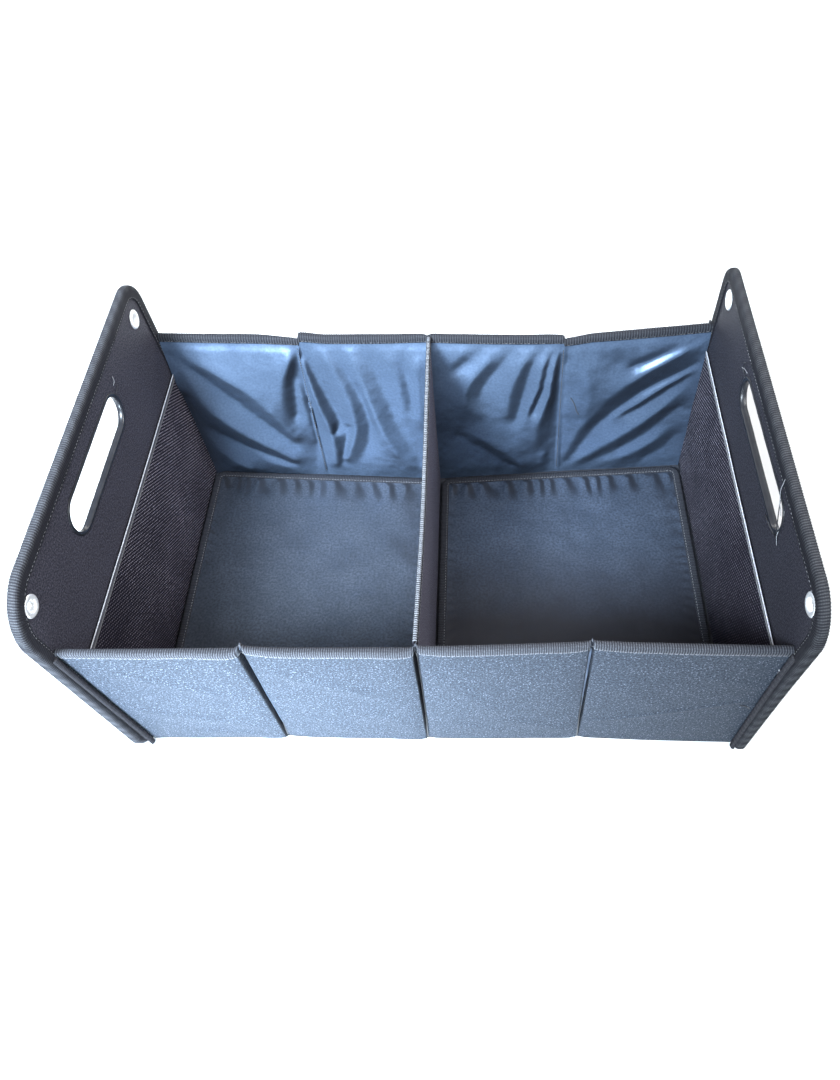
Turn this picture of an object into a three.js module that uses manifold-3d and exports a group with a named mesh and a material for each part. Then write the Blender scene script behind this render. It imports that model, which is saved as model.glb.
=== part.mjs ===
// Collapsible two-compartment boot organizer, standing open.
// Millimetres, +Z up, +X along the length, -Y is the front long side.
// Origin: centre of the footprint, on the surface that the organizer stands on.
import * as THREE from 'three';
import { mergeVertices } from 'three/addons/utils/BufferGeometryUtils.js';
import Module from 'manifold-3d';

const wasm = await Module();
wasm.setup();

// ---------------------------------------------------------------- driving dimensions
const GAP = 0.3;                 // clearance left between touching layers

// end panels: w runs from the inner face (0) outward, u along Y, v up the panel
const PANEL_DEPTH = 326;         // front to back
const PANEL_HEIGHT = 234.5;
const PANEL_TOP_R = 33;          // rounded upper corners
const PANEL_FOOT_R = 9;          // rounded lower corners
const PANEL_T = 6.1;             // thickness over the edge tape
const TAPE_T = 0.8;              // one turn of edge tape
const TAPE_W = 11;               // visible width of the folded 25 mm tape
const LEFT_FOOT_X = -237.1;      // inner face at the floor
const LEFT_LEAN = 0.0347;        // radians, leans outward
const RIGHT_FOOT_X = 245.5;
const RIGHT_LEAN = -0.021;       // leans inward
const INNER_COVER = [1.1, 1.8];  // w range of each layer
const END_BOARD = [2.1, 4.0];
const OUTER_COVER = [4.3, 5.0];

// hand slot
const SLOT_Y = -4;
const SLOT_L = 122;              // clear opening
const SLOT_H = 27;
const SLOT_Z = 197.5;
const SLOT_WALL = 1.5;
const SLOT_FLANGE = 4;

// eyelets
const EYELET_Y = 136.5;
const EYELET_Z = 214.5;
const EYELET_BORE_R = 4.6;
const EYELET_BARREL_R = 5.3;
const EYELET_FLANGE_R = 6.8;
const EYELET_SEGMENTS = 20;

// mesh pocket
const POCKET_Z = { left: 137, right: 149 };   // top of the hem
const POCKET_HEM = 6;

// long walls: plan polylines of the outer face at the foot.
// The vertices are the end, quarter, centre, quarter and end lines.
const WALL_END_GAP = 0.5;        // between a wall's end and the end panel
const WALL_H = 175.6;
const FRONT_FOOT = [[LEFT_FOOT_X + WALL_END_GAP, -150], [-117.4, -147.3], [0.9, -146.8], [120.2, -144.6], [RIGHT_FOOT_X - WALL_END_GAP, -146]];
const BACK_FOOT = [[LEFT_FOOT_X + WALL_END_GAP, 148], [-115.4, 143.6], [1, 138], [119.9, 144], [RIGHT_FOOT_X - WALL_END_GAP, 150]];
const FRONT_SPLAY = -4.5;        // how far the top edge stands out from the foot
const BACK_SPLAY = 11.5;
const WALL_OUTER = [0, 0.8];     // depth ranges inward from the outer face
const WALL_BOARD = [1.1, 3.1];
const WALL_LINING = [3.4, 4.1];
const WALL_TAPE_OUT = [-1.1, -0.3];
const WALL_TAPE_IN = [4.4, 5.2];
const WALL_TAPE_W = 11;
const BOARD_END_GAP = 2.2;       // free strip beside each crease
const WALL_Z0 = 1.2;

// divider
const DIV_X = 1.5;
const DIV_BOARD = 1.0;           // half thickness
const DIV_COVER = [1.3, 2.0];
const DIV_TAPE = [2.3, 3.0];
const DIV_TOP = [[0, 168.5], [0.18, 167.5], [0.44, 165.8], [0.7, 170.5], [1, 173.5]];   // fraction front to back, height
const DIV_WALL_CLEAR = 5.8;

// base
const BASE_T = 0.9;
const FLOOR_LEFT = [[-233.4, -138.5], [-2.2, -138.5], [-2.2, 127], [-233.4, 140.6]];
const FLOOR_RIGHT = [[5.2, -136], [241.4, -136], [241.4, 140.6], [5.2, 127.4]];
const FLOOR_CORNER_R = 10;
const FLOOR_TAPE_W = 8;
const FLOOR_TAPE_LOW = [1.2, 1.8];
const FLOOR_COVER_LOW = [2.1, 2.6];
const FLOOR_BOARD = [2.9, 4.7];
const FLOOR_COVER_TOP = [5.0, 5.5];
const FLOOR_TAPE_TOP = [5.8, 6.4];

// ---------------------------------------------------------------- materials
const mat = (color, roughness, metalness = 0) => new THREE.MeshStandardMaterial({ color, roughness, metalness });
const M = {
  lining: mat(0x4a5f80, 0.35),
  outer: mat(0x6f87a8, 0.6),
  panel: mat(0x33363e, 0.75),
  mesh: mat(0x2a2734, 0.8),
  tape: mat(0x4b4e55, 0.7),
  hem: mat(0x8d8f96, 0.6),
  board: mat(0x6b6257, 0.9),
  trim: mat(0x202126, 0.3),
  steel: mat(0xc9cbd0, 0.25, 1),
};

// ---------------------------------------------------------------- geometry helpers
function clean(geometry) {
  const g = geometry.clone();
  g.deleteAttribute('normal');
  g.deleteAttribute('uv');
  return mergeVertices(g, 1e-4);
}
function solid(geometry) {
  const g = clean(geometry);
  return new wasm.Manifold(new wasm.Mesh({
    numProp: 3,
    vertProperties: new Float32Array(g.attributes.position.array),
    triVerts: new Uint32Array(g.index.array),
  }));
}
function geometryOf(manifold) {
  const m = manifold.getMesh();
  const n = m.vertProperties.length / m.numProp;
  const pos = new Float32Array(n * 3);
  for (let i = 0; i < n; i++) for (let k = 0; k < 3; k++) pos[3 * i + k] = m.vertProperties[m.numProp * i + k];
  const g = new THREE.BufferGeometry();
  g.setAttribute('position', new THREE.BufferAttribute(pos, 3));
  g.setIndex(new THREE.BufferAttribute(new Uint32Array(m.triVerts), 1));
  return g;
}
const union = (...geoms) => geometryOf(geoms.map(solid).reduce((a, b) => a.add(b)));

// outline of a polygon with every corner rounded by its own radius
function roundedPoints(points, radii, steps = 6) {
  const out = [];
  const n = points.length;
  for (let i = 0; i < n; i++) {
    const p = new THREE.Vector2(...points[i]);
    const a = new THREE.Vector2(...points[(i + n - 1) % n]).sub(p).normalize();
    const b = new THREE.Vector2(...points[(i + 1) % n]).sub(p).normalize();
    const r = radii[i];
    if (r <= 0.01) { out.push(p); continue; }
    const half = Math.acos(THREE.MathUtils.clamp(a.dot(b), -1, 1)) / 2;
    const t = r / Math.tan(half);
    const centre = p.clone().add(a.clone().add(b).normalize().multiplyScalar(r / Math.sin(half)));
    const s = p.clone().addScaledVector(a, t).sub(centre);
    const e = p.clone().addScaledVector(b, t).sub(centre);
    let da = e.angle() - s.angle();
    while (da > Math.PI) da -= 2 * Math.PI;
    while (da < -Math.PI) da += 2 * Math.PI;
    for (let k = 0; k <= steps; k++) {
      const ang = s.angle() + (da * k) / steps;
      out.push(new THREE.Vector2(centre.x + r * Math.cos(ang), centre.y + r * Math.sin(ang)));
    }
  }
  return out;
}
// straight inset of a convex polygon
function inset(points, d) {
  const n = points.length;
  let area = 0;
  for (let i = 0; i < n; i++) area += points[i][0] * points[(i + 1) % n][1] - points[(i + 1) % n][0] * points[i][1];
  const s = area > 0 ? 1 : -1;
  const lines = points.map((p, i) => {
    const q = points[(i + 1) % n];
    const l = Math.hypot(q[0] - p[0], q[1] - p[1]);
    const nx = (-(q[1] - p[1]) / l) * s, ny = ((q[0] - p[0]) / l) * s;
    return { nx, ny, c: nx * p[0] + ny * p[1] + d };
  });
  return points.map((_, i) => {
    const a = lines[(i + n - 1) % n], b = lines[i];
    const det = a.nx * b.ny - a.ny * b.nx;
    return [(a.c * b.ny - b.c * a.ny) / det, (a.nx * b.c - b.nx * a.c) / det];
  });
}
const rounded = (points, d, r) => roundedPoints(inset(points, d), points.map(() => Math.max(r - d, 0.6)), 4);

// plate cut from an outline, with holes, between two heights of its normal
function plate(outline, holes, z0, z1) {
  const shape = new THREE.Shape(outline);
  for (const h of holes) shape.holes.push(new THREE.Path(h));
  const g = new THREE.ExtrudeGeometry(shape, { depth: z1 - z0, bevelEnabled: false });
  g.translate(0, 0, z0);
  return g;
}
function circle(cx, cy, r, n = EYELET_SEGMENTS) {
  return Array.from({ length: n }, (_, i) => new THREE.Vector2(cx + r * Math.cos((2 * Math.PI * i) / n), cy + r * Math.sin((2 * Math.PI * i) / n)));
}
function stadium(cx, cy, length, height, n = 8) {
  const r = height / 2, h = length / 2 - r, out = [];
  for (let i = 0; i <= n; i++) { const a = -Math.PI / 2 + (Math.PI * i) / n; out.push(new THREE.Vector2(cx + h + r * Math.cos(a), cy + r * Math.sin(a))); }
  for (let i = 0; i <= n; i++) { const a = Math.PI / 2 + (Math.PI * i) / n; out.push(new THREE.Vector2(cx - h + r * Math.cos(a), cy + r * Math.sin(a))); }
  return out;
}

// closed loft through equal sections (arrays of 3-D points), capped with the section's own outline
function loft(sections, outline2d) {
  const n = sections[0].length;
  const pos = sections.flat().flatMap((p) => [p.x, p.y, p.z]);
  const idx = [];
  for (let s = 0; s + 1 < sections.length; s++) {
    for (let i = 0; i < n; i++) {
      const j = (i + 1) % n;
      const a = s * n + i, b = s * n + j, c = (s + 1) * n + i, d = (s + 1) * n + j;
      idx.push(a, b, d, a, d, c);
    }
  }
  const flat = outline2d.map((p) => new THREE.Vector2(...p));
  const turn = Math.sign(THREE.ShapeUtils.area(flat));
  const tris = THREE.ShapeUtils.triangulateShape(flat, []).map((t) => (
    Math.sign(THREE.ShapeUtils.area(t.map((i) => flat[i]))) === turn ? t : [t[2], t[1], t[0]]));
  const last = (sections.length - 1) * n;
  for (const t of tris) { idx.push(t[2], t[1], t[0]); idx.push(last + t[0], last + t[1], last + t[2]); }
  const g = new THREE.BufferGeometry();
  g.setAttribute('position', new THREE.Float32BufferAttribute(pos, 3));
  g.setIndex(idx);
  // turn the faces outward
  let vol = 0;
  const p = g.attributes.position;
  const va = new THREE.Vector3(), vb = new THREE.Vector3(), vc = new THREE.Vector3();
  for (let i = 0; i < idx.length; i += 3) {
    va.fromBufferAttribute(p, idx[i]); vb.fromBufferAttribute(p, idx[i + 1]); vc.fromBufferAttribute(p, idx[i + 2]);
    vol += va.dot(vb.clone().cross(vc));
  }
  if (vol < 0) {
    for (let i = 0; i < idx.length; i += 3) [idx[i + 1], idx[i + 2]] = [idx[i + 2], idx[i + 1]];
    g.setIndex(idx);
  }
  return g;
}

const root = new THREE.Group();
function add(parent, name, geometry, material) {
  const mesh = new THREE.Mesh(clean(geometry), material);
  mesh.name = name;
  parent.add(mesh);
  return mesh;
}

// ---------------------------------------------------------------- end panels
function endPanel(side) {
  const left = side === 'left';
  const group = new THREE.Group();
  // the panel is drawn flat with u = +X, v = +Y, w = +Z, then stood up
  const half = PANEL_DEPTH / 2;
  const box = [[-half, 0], [half, 0], [half, PANEL_HEIGHT], [-half, PANEL_HEIGHT]];
  const radii = (d) => [PANEL_FOOT_R, PANEL_FOOT_R, PANEL_TOP_R, PANEL_TOP_R].map((r) => Math.max(r - d, 0.8));
  const outline = (d) => roundedPoints(inset(box, d), radii(d), 6);
  const slotHole = (grow) => stadium(SLOT_Y, SLOT_Z, SLOT_L + 2 * grow, SLOT_H + 2 * grow);
  const eyeletHole = (y, r) => circle(y, EYELET_Z, r);
  const cut = (r) => [slotHole(SLOT_WALL + 0.4), eyeletHole(-EYELET_Y, r), eyeletHole(EYELET_Y, r)];
  const edge = TAPE_T + GAP;
  const parts = {};

  parts.board = plate(outline(edge), cut(EYELET_BARREL_R + 0.4), ...END_BOARD);
  parts.inner = plate(outline(edge), cut(EYELET_BARREL_R + 0.4), ...INNER_COVER);
  parts.outer = plate(outline(edge), cut(EYELET_BARREL_R + 0.4), ...OUTER_COVER);
  parts.tape = union(
    plate(outline(0), [outline(TAPE_W)], 0, TAPE_T),
    plate(outline(0), [outline(TAPE_T)], TAPE_T / 2, PANEL_T - TAPE_T / 2),
    plate(outline(0), [outline(TAPE_W)], PANEL_T - TAPE_T, PANEL_T),
  );
  const top = POCKET_Z[side];
  const mu = half - TAPE_W - GAP;
  parts.pocket = plate([[-mu, TAPE_W + GAP], [mu, TAPE_W + GAP], [mu, top - POCKET_HEM - GAP], [-mu, top - POCKET_HEM - GAP]].map((p) => new THREE.Vector2(...p)), [], 0.1, TAPE_T);
  parts.hem = plate([[-139.5, top - POCKET_HEM], [149.5, top - POCKET_HEM], [149.5, top], [-139.5, top]].map((p) => new THREE.Vector2(...p)), [], -0.9, TAPE_T);
  parts.trim = union(
    plate(slotHole(SLOT_FLANGE), [slotHole(0)], 0, TAPE_T),
    plate(slotHole(SLOT_WALL), [slotHole(0)], TAPE_T / 2, PANEL_T - TAPE_T / 2),
    plate(slotHole(SLOT_FLANGE), [slotHole(0)], PANEL_T - TAPE_T, PANEL_T),
  );
  const eyelet = () => {
    const profile = [[EYELET_BORE_R, 0.4], [5.0, -0.3], [6.3, -0.3], [EYELET_FLANGE_R, 0.6], [EYELET_FLANGE_R, 0.8], [EYELET_BARREL_R, 0.8],
      [EYELET_BARREL_R, 6.2], [6.4, 6.2], [6.4, 6.6], [5.6, 6.9], [EYELET_BORE_R, 6.5], [EYELET_BORE_R, 0.4]];
    const g = new THREE.LatheGeometry(profile.map((p) => new THREE.Vector2(p[0], p[1])), EYELET_SEGMENTS);
    g.rotateX(Math.PI / 2);      // lathe axis to +Z (w)
    return g;
  };
  const washer = () => plate(circle(0, 0, EYELET_FLANGE_R), [circle(0, 0, EYELET_BARREL_R + 0.35)], 5.3, 5.9);

  const put = (name, g, material) => {
    // faces of a mirrored panel are turned round again
    g = clean(g);
    g.applyMatrix4(new THREE.Matrix4().set(
      0, 0, left ? -1 : 1, 0,
      1, 0, 0, 0,
      0, 1, 0, 0,
      0, 0, 0, 1));
    if (left) { const ix = g.index.array; for (let i = 0; i < ix.length; i += 3) { const t = ix[i + 1]; ix[i + 1] = ix[i + 2]; ix[i + 2] = t; } }
    add(group, name, g, material);
  };
  put(`${side}_end_board`, parts.board, M.board);
  put(`${side}_end_inner_cover`, parts.inner, M.panel);
  put(`${side}_end_outer_cover`, parts.outer, M.panel);
  put(`${side}_end_binding`, parts.tape, M.tape);
  put(`${side}_mesh_pocket`, parts.pocket, M.mesh);
  put(`${side}_pocket_hem`, parts.hem, M.hem);
  put(`${side}_handle_trim`, parts.trim, M.trim);
  for (const [where, y] of [['front', -EYELET_Y], ['rear', EYELET_Y]]) {
    const e = eyelet(); e.translate(y, EYELET_Z, 0);
    const gm = solid(e);
    if (gm.volume() < 0) throw new Error('eyelet faces inward');
    put(`${side}_${where}_eyelet`, e, M.steel);
    const w = washer(); w.translate(y, EYELET_Z, 0);
    put(`${side}_${where}_eyelet_washer`, w, M.steel);
  }
  // tilt about the foot line; a positive lean carries the top outward
  const lean = left ? LEFT_LEAN : RIGHT_LEAN;
  group.rotation.y = left ? -lean : lean;
  group.position.set(left ? LEFT_FOOT_X : RIGHT_FOOT_X, 0, left ? PANEL_T * Math.sin(LEFT_LEAN) : 0);
  root.add(group);
}
endPanel('left');
endPanel('right');

// ---------------------------------------------------------------- long walls
// mitred point of a wall's plan polyline at height z, moved inward by d
// (inward is +Y on the front wall, -Y on the back wall); every panel of a wall is flat
function wallPoint(wall, i, d, z) {
  const { foot, splay, inward } = wall;
  const last = foot.length - 1;
  const normal = (a, b) => { const l = Math.hypot(b[0] - a[0], b[1] - a[1]); return [(-(b[1] - a[1]) / l) * inward, ((b[0] - a[0]) / l) * inward]; };
  const shift = (splay * z) / WALL_H;
  if (i === 0 || i === last) {
    // the end line follows the inner face of the end panel
    const a = foot[i], b = foot[i === 0 ? 1 : last - 1];
    const x = a[0] + (i === 0 ? -Math.tan(LEFT_LEAN) : Math.tan(RIGHT_LEAN)) * z;
    const slope = (b[1] - a[1]) / (b[0] - a[0]);
    return new THREE.Vector3(x, a[1] + slope * (x - a[0]) + shift + d * inward * Math.hypot(1, slope), z);
  }
  const n1 = normal(foot[i - 1], foot[i]), n2 = normal(foot[i], foot[i + 1]);
  const m = [n1[0] + n2[0], n1[1] + n2[1]];
  const l = Math.hypot(...m);
  const c = (n1[0] * m[0] + n1[1] * m[1]) / l;
  return new THREE.Vector3(foot[i][0] + (m[0] / l) * (d / c), foot[i][1] + (m[1] / l) * (d / c) + shift, z);
}
// point between two lines of the wall, trim millimetres along from line i towards line j
function wallPointTowards(wall, i, j, trim, d, z) {
  const a = wallPoint(wall, i, d, z), b = wallPoint(wall, j, d, z);
  return a.clone().addScaledVector(b.clone().sub(a).normalize(), trim);
}
const section = (d0, d1, z0, z1) => [[d0, z0], [d0, z1], [d1, z1], [d1, z0]];
function strip(wall, first, last, outline, trimFirst = 0, trimLast = 0) {
  const sections = [];
  for (let i = first; i <= last; i++) {
    sections.push(outline.map(([d, z]) => {
      if (i === first && trimFirst) return wallPointTowards(wall, i, i + 1, trimFirst, d, z);
      if (i === last && trimLast) return wallPointTowards(wall, i, i - 1, trimLast, d, z);
      return wallPoint(wall, i, d, z);
    }));
  }
  return loft(sections, outline);
}
function longWall(name, foot, splay, inward) {
  const wall = { foot, splay, inward };
  const t0 = WALL_H;
  add(root, `${name}_wall_outer_cover`, strip(wall, 0, 4, section(...WALL_OUTER, WALL_Z0, t0)), M.outer);
  for (let i = 0; i < 4; i++) {
    add(root, `${name}_wall_board_${i + 1}`, strip(wall, i, i + 1, section(...WALL_BOARD, WALL_Z0 + 1.5, t0 - 1), BOARD_END_GAP, BOARD_END_GAP), M.board);
  }
  add(root, `${name}_left_lining`, strip(wall, 0, 2, section(...WALL_LINING, WALL_Z0, t0), 0, 0.3), M.lining);
  add(root, `${name}_right_lining`, strip(wall, 2, 4, section(...WALL_LINING, WALL_Z0, t0), 0.3, 0), M.lining);
  const z0 = t0 - WALL_TAPE_W, z1 = t0 + GAP, z2 = t0 + GAP + 0.8;
  const u = [[WALL_TAPE_OUT[0], z0], [WALL_TAPE_OUT[0], z2], [WALL_TAPE_IN[1], z2], [WALL_TAPE_IN[1], z0],
    [WALL_TAPE_IN[0], z0], [WALL_TAPE_IN[0], z1], [WALL_TAPE_OUT[1], z1], [WALL_TAPE_OUT[1], z0]];
  add(root, `${name}_wall_binding`, strip(wall, 0, 4, u), M.tape);
}
longWall('front', FRONT_FOOT, FRONT_SPLAY, 1);
longWall('back', BACK_FOOT, BACK_SPLAY, -1);

// ---------------------------------------------------------------- divider
{
  const front = { foot: FRONT_FOOT, splay: FRONT_SPLAY, inward: 1 };
  const back = { foot: BACK_FOOT, splay: BACK_SPLAY, inward: -1 };
  const yFront = (z) => wallPoint(front, 2, DIV_WALL_CLEAR, z).y + 0.4;
  const yBack = (z) => wallPoint(back, 2, DIV_WALL_CLEAR, z).y - 0.4;
  const profile = (lower) => {
    const pts = [new THREE.Vector2(yFront(WALL_Z0), WALL_Z0)];
    for (const [k, z] of DIV_TOP) { const h = z - lower; pts.push(new THREE.Vector2(yFront(h) + (yBack(h) - yFront(h)) * k, h)); }
    pts.push(new THREE.Vector2(yBack(WALL_Z0), WALL_Z0));
    return pts;
  };
  // outline in (y, z), thickness along x
  const slab = (lower, x0, x1) => {
    const g = plate(profile(lower), [], x0, x1);
    g.applyMatrix4(new THREE.Matrix4().set(0, 0, 1, DIV_X, 1, 0, 0, 0, 0, 1, 0, 0, 0, 0, 0, 1));
    return g;
  };
  add(root, 'divider_board', slab(1.4, -DIV_BOARD, DIV_BOARD), M.board);
  add(root, 'divider_left_cover', slab(1.1, -DIV_COVER[1], -DIV_COVER[0]), M.panel);
  add(root, 'divider_right_cover', slab(1.1, DIV_COVER[0], DIV_COVER[1]), M.panel);
  const [a, b] = DIV_TAPE;
  const u = [[-b, -10], [-b, 0], [b, 0], [b, -10], [a, -10], [a, -0.7], [-a, -0.7], [-a, -10]];
  const sections = DIV_TOP.map(([k, z]) => u.map(([x, dz]) => {
    const y = yFront(z) + (yBack(z) - yFront(z)) * k;
    return new THREE.Vector3(DIV_X + x, y, z + dz);
  }));
  add(root, 'divider_binding', loft(sections, u), M.tape);
}

// ---------------------------------------------------------------- base and floor boards
{
  const plan = [...FRONT_FOOT, ...[...BACK_FOOT].reverse()].map((p) => new THREE.Vector2(...p));
  add(root, 'bottom_fabric', plate(plan, [], 0, BASE_T), M.outer);
  for (const [side, corners] of [['left', FLOOR_LEFT], ['right', FLOOR_RIGHT]]) {
    const line = (d) => rounded(corners, d, FLOOR_CORNER_R);
    const edge = 0.6 + GAP;
    add(root, `${side}_floor_board`, plate(line(edge + 0.6), [], ...FLOOR_BOARD), M.board);
    add(root, `${side}_floor_top_cover`, plate(line(edge), [], ...FLOOR_COVER_TOP), M.lining);
    add(root, `${side}_floor_bottom_cover`, plate(line(edge), [], ...FLOOR_COVER_LOW), M.lining);
    add(root, `${side}_floor_binding`, union(
      plate(line(0), [line(FLOOR_TAPE_W)], ...FLOOR_TAPE_LOW),
      plate(line(0), [line(0.6)], FLOOR_TAPE_LOW[0] + 0.3, FLOOR_TAPE_TOP[1] - 0.3),
      plate(line(0), [line(FLOOR_TAPE_W)], ...FLOOR_TAPE_TOP),
    ), M.tape);
  }
}

export default root;
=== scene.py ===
import math

import bpy
import numpy as np
from mathutils import Matrix, Vector
from mathutils.geometry import delaunay_2d_cdt


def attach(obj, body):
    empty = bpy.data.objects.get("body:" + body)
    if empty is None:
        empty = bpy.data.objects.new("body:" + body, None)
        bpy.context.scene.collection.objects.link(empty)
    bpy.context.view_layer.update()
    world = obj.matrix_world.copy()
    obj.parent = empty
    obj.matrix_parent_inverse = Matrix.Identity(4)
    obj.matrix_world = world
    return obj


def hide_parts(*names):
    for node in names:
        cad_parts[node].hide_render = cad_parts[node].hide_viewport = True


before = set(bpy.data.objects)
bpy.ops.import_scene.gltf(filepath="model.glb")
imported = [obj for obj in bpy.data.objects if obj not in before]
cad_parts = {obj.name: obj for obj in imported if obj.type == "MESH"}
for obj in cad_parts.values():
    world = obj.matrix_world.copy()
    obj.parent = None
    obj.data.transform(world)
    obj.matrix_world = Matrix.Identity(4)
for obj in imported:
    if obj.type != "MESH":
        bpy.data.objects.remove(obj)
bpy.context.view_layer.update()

scene = bpy.context.scene
pi = math.pi

# ------------------------------------------------------------------ camera
cam_data = bpy.data.cameras.new("camera")
cam = bpy.data.objects.new("camera", cam_data)
scene.collection.objects.link(cam)
cam_data.sensor_fit = "AUTO"
cam_data.sensor_width = 36.0
cam_data.lens = 26.0
cam_data.clip_start, cam_data.clip_end = 0.01, 50
X = Vector((0.99702818, 0.03913927, -0.06635455))
F = Vector((-0.07691061, 0.55516563, -0.82817624))
D = Vector((-0.00442355, -0.83081841, -0.55652601))
m = Matrix.Identity(4)
for r in range(3):
    m[r][0], m[r][1], m[r][2] = X[r], -D[r], -F[r]
m[0][3], m[1][3], m[2][3] = 0.04418, -0.37267, 0.63841
cam.matrix_world = m
scene.camera = cam


# ------------------------------------------------------------------ small maths
def lerp(a, b, t):
    return a + (b - a) * t


def smooth(a, b, x):
    t = np.clip((np.asarray(x, float) - a) / (b - a), 0, 1)
    return t * t * (3 - 2 * t)


def bump(x, c, w):
    return np.exp(-(((np.asarray(x, float) - c) / w) ** 2))


def vnoise(x, y, seed, size):
    """Smooth value noise, one lattice cell per size millimetres, from -1 to 1."""
    lattice = np.random.default_rng(seed).random((128, 128)) * 2 - 1
    fx, fy = np.asarray(x, float) / size + 40.3, np.asarray(y, float) / size + 40.7
    ix, iy = np.floor(fx).astype(int), np.floor(fy).astype(int)
    tx, ty = fx - ix, fy - iy
    tx, ty = tx * tx * (3 - 2 * tx), ty * ty * (3 - 2 * ty)
    g = lambda a, b: lattice[a % 128, b % 128]
    return lerp(lerp(g(ix, iy), g(ix + 1, iy), tx), lerp(g(ix, iy + 1), g(ix + 1, iy + 1), tx), ty)


def fbm(x, y, seed, size, octaves=3):
    out, amp, total = 0, 1.0, 0
    for k in range(octaves):
        out = out + amp * vnoise(x, y, seed + 17 * k, size / 2**k)
        total += amp
        amp *= 0.5
    return out / total


# ------------------------------------------------------------------ mesh making (millimetres in, metres out)
def signed_volume(V, faces):
    vol = 0.0
    for f in faces:
        a = V[f[:, 0]]
        for k in range(1, f.shape[1] - 1):
            vol += float(np.einsum("ij,ij->", a, np.cross(V[f[:, k]], V[f[:, k + 1]])))
    return vol


def make(name, V, faces, mat, uv=None, body="shell", sharp=None, flip=True):
    V = np.asarray(V, float).reshape(-1, 3)
    faces = [np.asarray(f, int) for f in faces if len(f)]
    if flip and signed_volume(V - V.mean(0), faces) < 0:
        faces = [f[:, ::-1] for f in faces]
    me = bpy.data.meshes.new(name)
    me.vertices.add(len(V))
    me.vertices.foreach_set("co", (V * 0.001).astype(np.float32).ravel())
    loops = np.concatenate([f.ravel() for f in faces]).astype(np.int32)
    totals = np.concatenate([np.full(len(f), f.shape[1]) for f in faces])
    starts = np.concatenate([[0], np.cumsum(totals)[:-1]]).astype(np.int32)
    me.loops.add(len(loops))
    me.loops.foreach_set("vertex_index", loops)
    me.polygons.add(len(totals))
    me.polygons.foreach_set("loop_start", starts)
    me.polygons.foreach_set("use_smooth", np.ones(len(totals), bool))
    if uv is not None:
        layer = me.uv_layers.new(name="UVMap")
        layer.data.foreach_set("uv", np.asarray(uv, float).reshape(-1, 2)[loops].astype(np.float32).ravel())
    me.update(calc_edges=True)
    me.validate()
    if sharp:
        me.set_sharp_from_angle(angle=math.radians(sharp))
    o = bpy.data.objects.new(name, me)
    scene.collection.objects.link(o)
    me.materials.append(mat)
    if body:
        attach(o, body)
    return o


def grid_faces(r, c, offset=0):
    i = np.arange(r * c).reshape(r, c) + offset
    return np.stack([i[:-1, :-1], i[:-1, 1:], i[1:, 1:], i[1:, :-1]], -1).reshape(-1, 4)


def grid_solid(name, P, Q, uv, mat, body="shell", sharp=60):
    """A thin closed sheet from the grid P of its visible face and the grid Q of its back."""
    r, c = P.shape[:2]
    V = np.concatenate([P.reshape(-1, 3), Q.reshape(-1, 3)])
    front = grid_faces(r, c)
    back = front[:, ::-1] + r * c
    i = np.arange(r * c).reshape(r, c)
    loop = np.concatenate([i[0, :], i[1:, -1], i[-1, -2::-1], i[-2:0:-1, 0]])
    nxt = np.roll(loop, -1)
    rim = np.stack([nxt, loop, loop + r * c, nxt + r * c], -1)
    uv2 = np.concatenate([uv.reshape(-1, 2)] * 2)
    return make(name, V, [front, back, rim], mat, uv2, body, sharp)


def loft_parts(rings, closed=False):
    n, k = rings.shape[:2]
    i = np.arange(n * k).reshape(n, k)
    a = i if closed else i[:-1]
    b = np.roll(i, -1, 0) if closed else i[1:]
    quads = np.stack([a, np.roll(a, -1, 1), np.roll(b, -1, 1), b], -1).reshape(-1, 4)
    faces = [quads]
    if not closed:
        faces.append(i[0][::-1][None])
        faces.append(i[-1][None])
    return rings.reshape(-1, 3), faces


def loft(name, rings, mat, uv=None, closed=False, body="shell", sharp=None):
    V, faces = loft_parts(rings, closed)
    return make(name, V, faces, mat, uv, body, sharp)


def fold_at(uvs, *rows):
    """Stacks the rings' UVs with the second axis measured from the fold of the tape."""
    out = np.stack(uvs, 1)
    out[..., 1] -= np.mean([out[0, r, 1] for r in rows])
    return out


class Bag:
    """Collects several closed shells into one mesh."""

    def __init__(self):
        self.V, self.F, self.UV, self.n = [], {}, [], 0

    def add(self, V, faces, uv=None):
        V = np.asarray(V, float).reshape(-1, 3)
        faces = [np.asarray(f, int) for f in faces]
        if signed_volume(V - V.mean(0), faces) < 0:
            faces = [f[:, ::-1] for f in faces]
        for f in faces:
            self.F.setdefault(f.shape[1], []).append(f + self.n)
        self.V.append(V)
        self.UV.append(np.zeros((len(V), 2)) if uv is None else np.asarray(uv, float).reshape(-1, 2))
        self.n += len(V)

    def build(self, name, mat, body="shell", sharp=None):
        faces = [np.concatenate(f) for f in self.F.values()]
        return make(name, np.concatenate(self.V), faces, mat, np.concatenate(self.UV), body, sharp, flip=False)


def frames(path):
    """Unit tangents and two unit normals along a polyline."""
    t = np.gradient(path, axis=0)
    t /= np.linalg.norm(t, axis=1)[:, None] + 1e-12
    up = np.array([0.0, 0.0, 1.0])
    n = np.cross(t, up)
    bad = np.linalg.norm(n, axis=1) < 1e-3
    n[bad] = np.cross(t[bad], np.array([1.0, 0, 0]))
    n /= np.linalg.norm(n, axis=1)[:, None]
    return t, n, np.cross(n, t)


def tube(path, radius, sides=6, taper=True):
    path = np.asarray(path, float)
    t, n, b = frames(path)
    a = np.arange(sides) * 2 * pi / sides
    rad = np.full(len(path), float(radius))
    if taper:
        rad[0] *= 0.35
        rad[-1] *= 0.35
    rings = path[:, None] + rad[:, None, None] * (np.cos(a)[None, :, None] * n[:, None] + np.sin(a)[None, :, None] * b[:, None])
    return loft_parts(rings)


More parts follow.
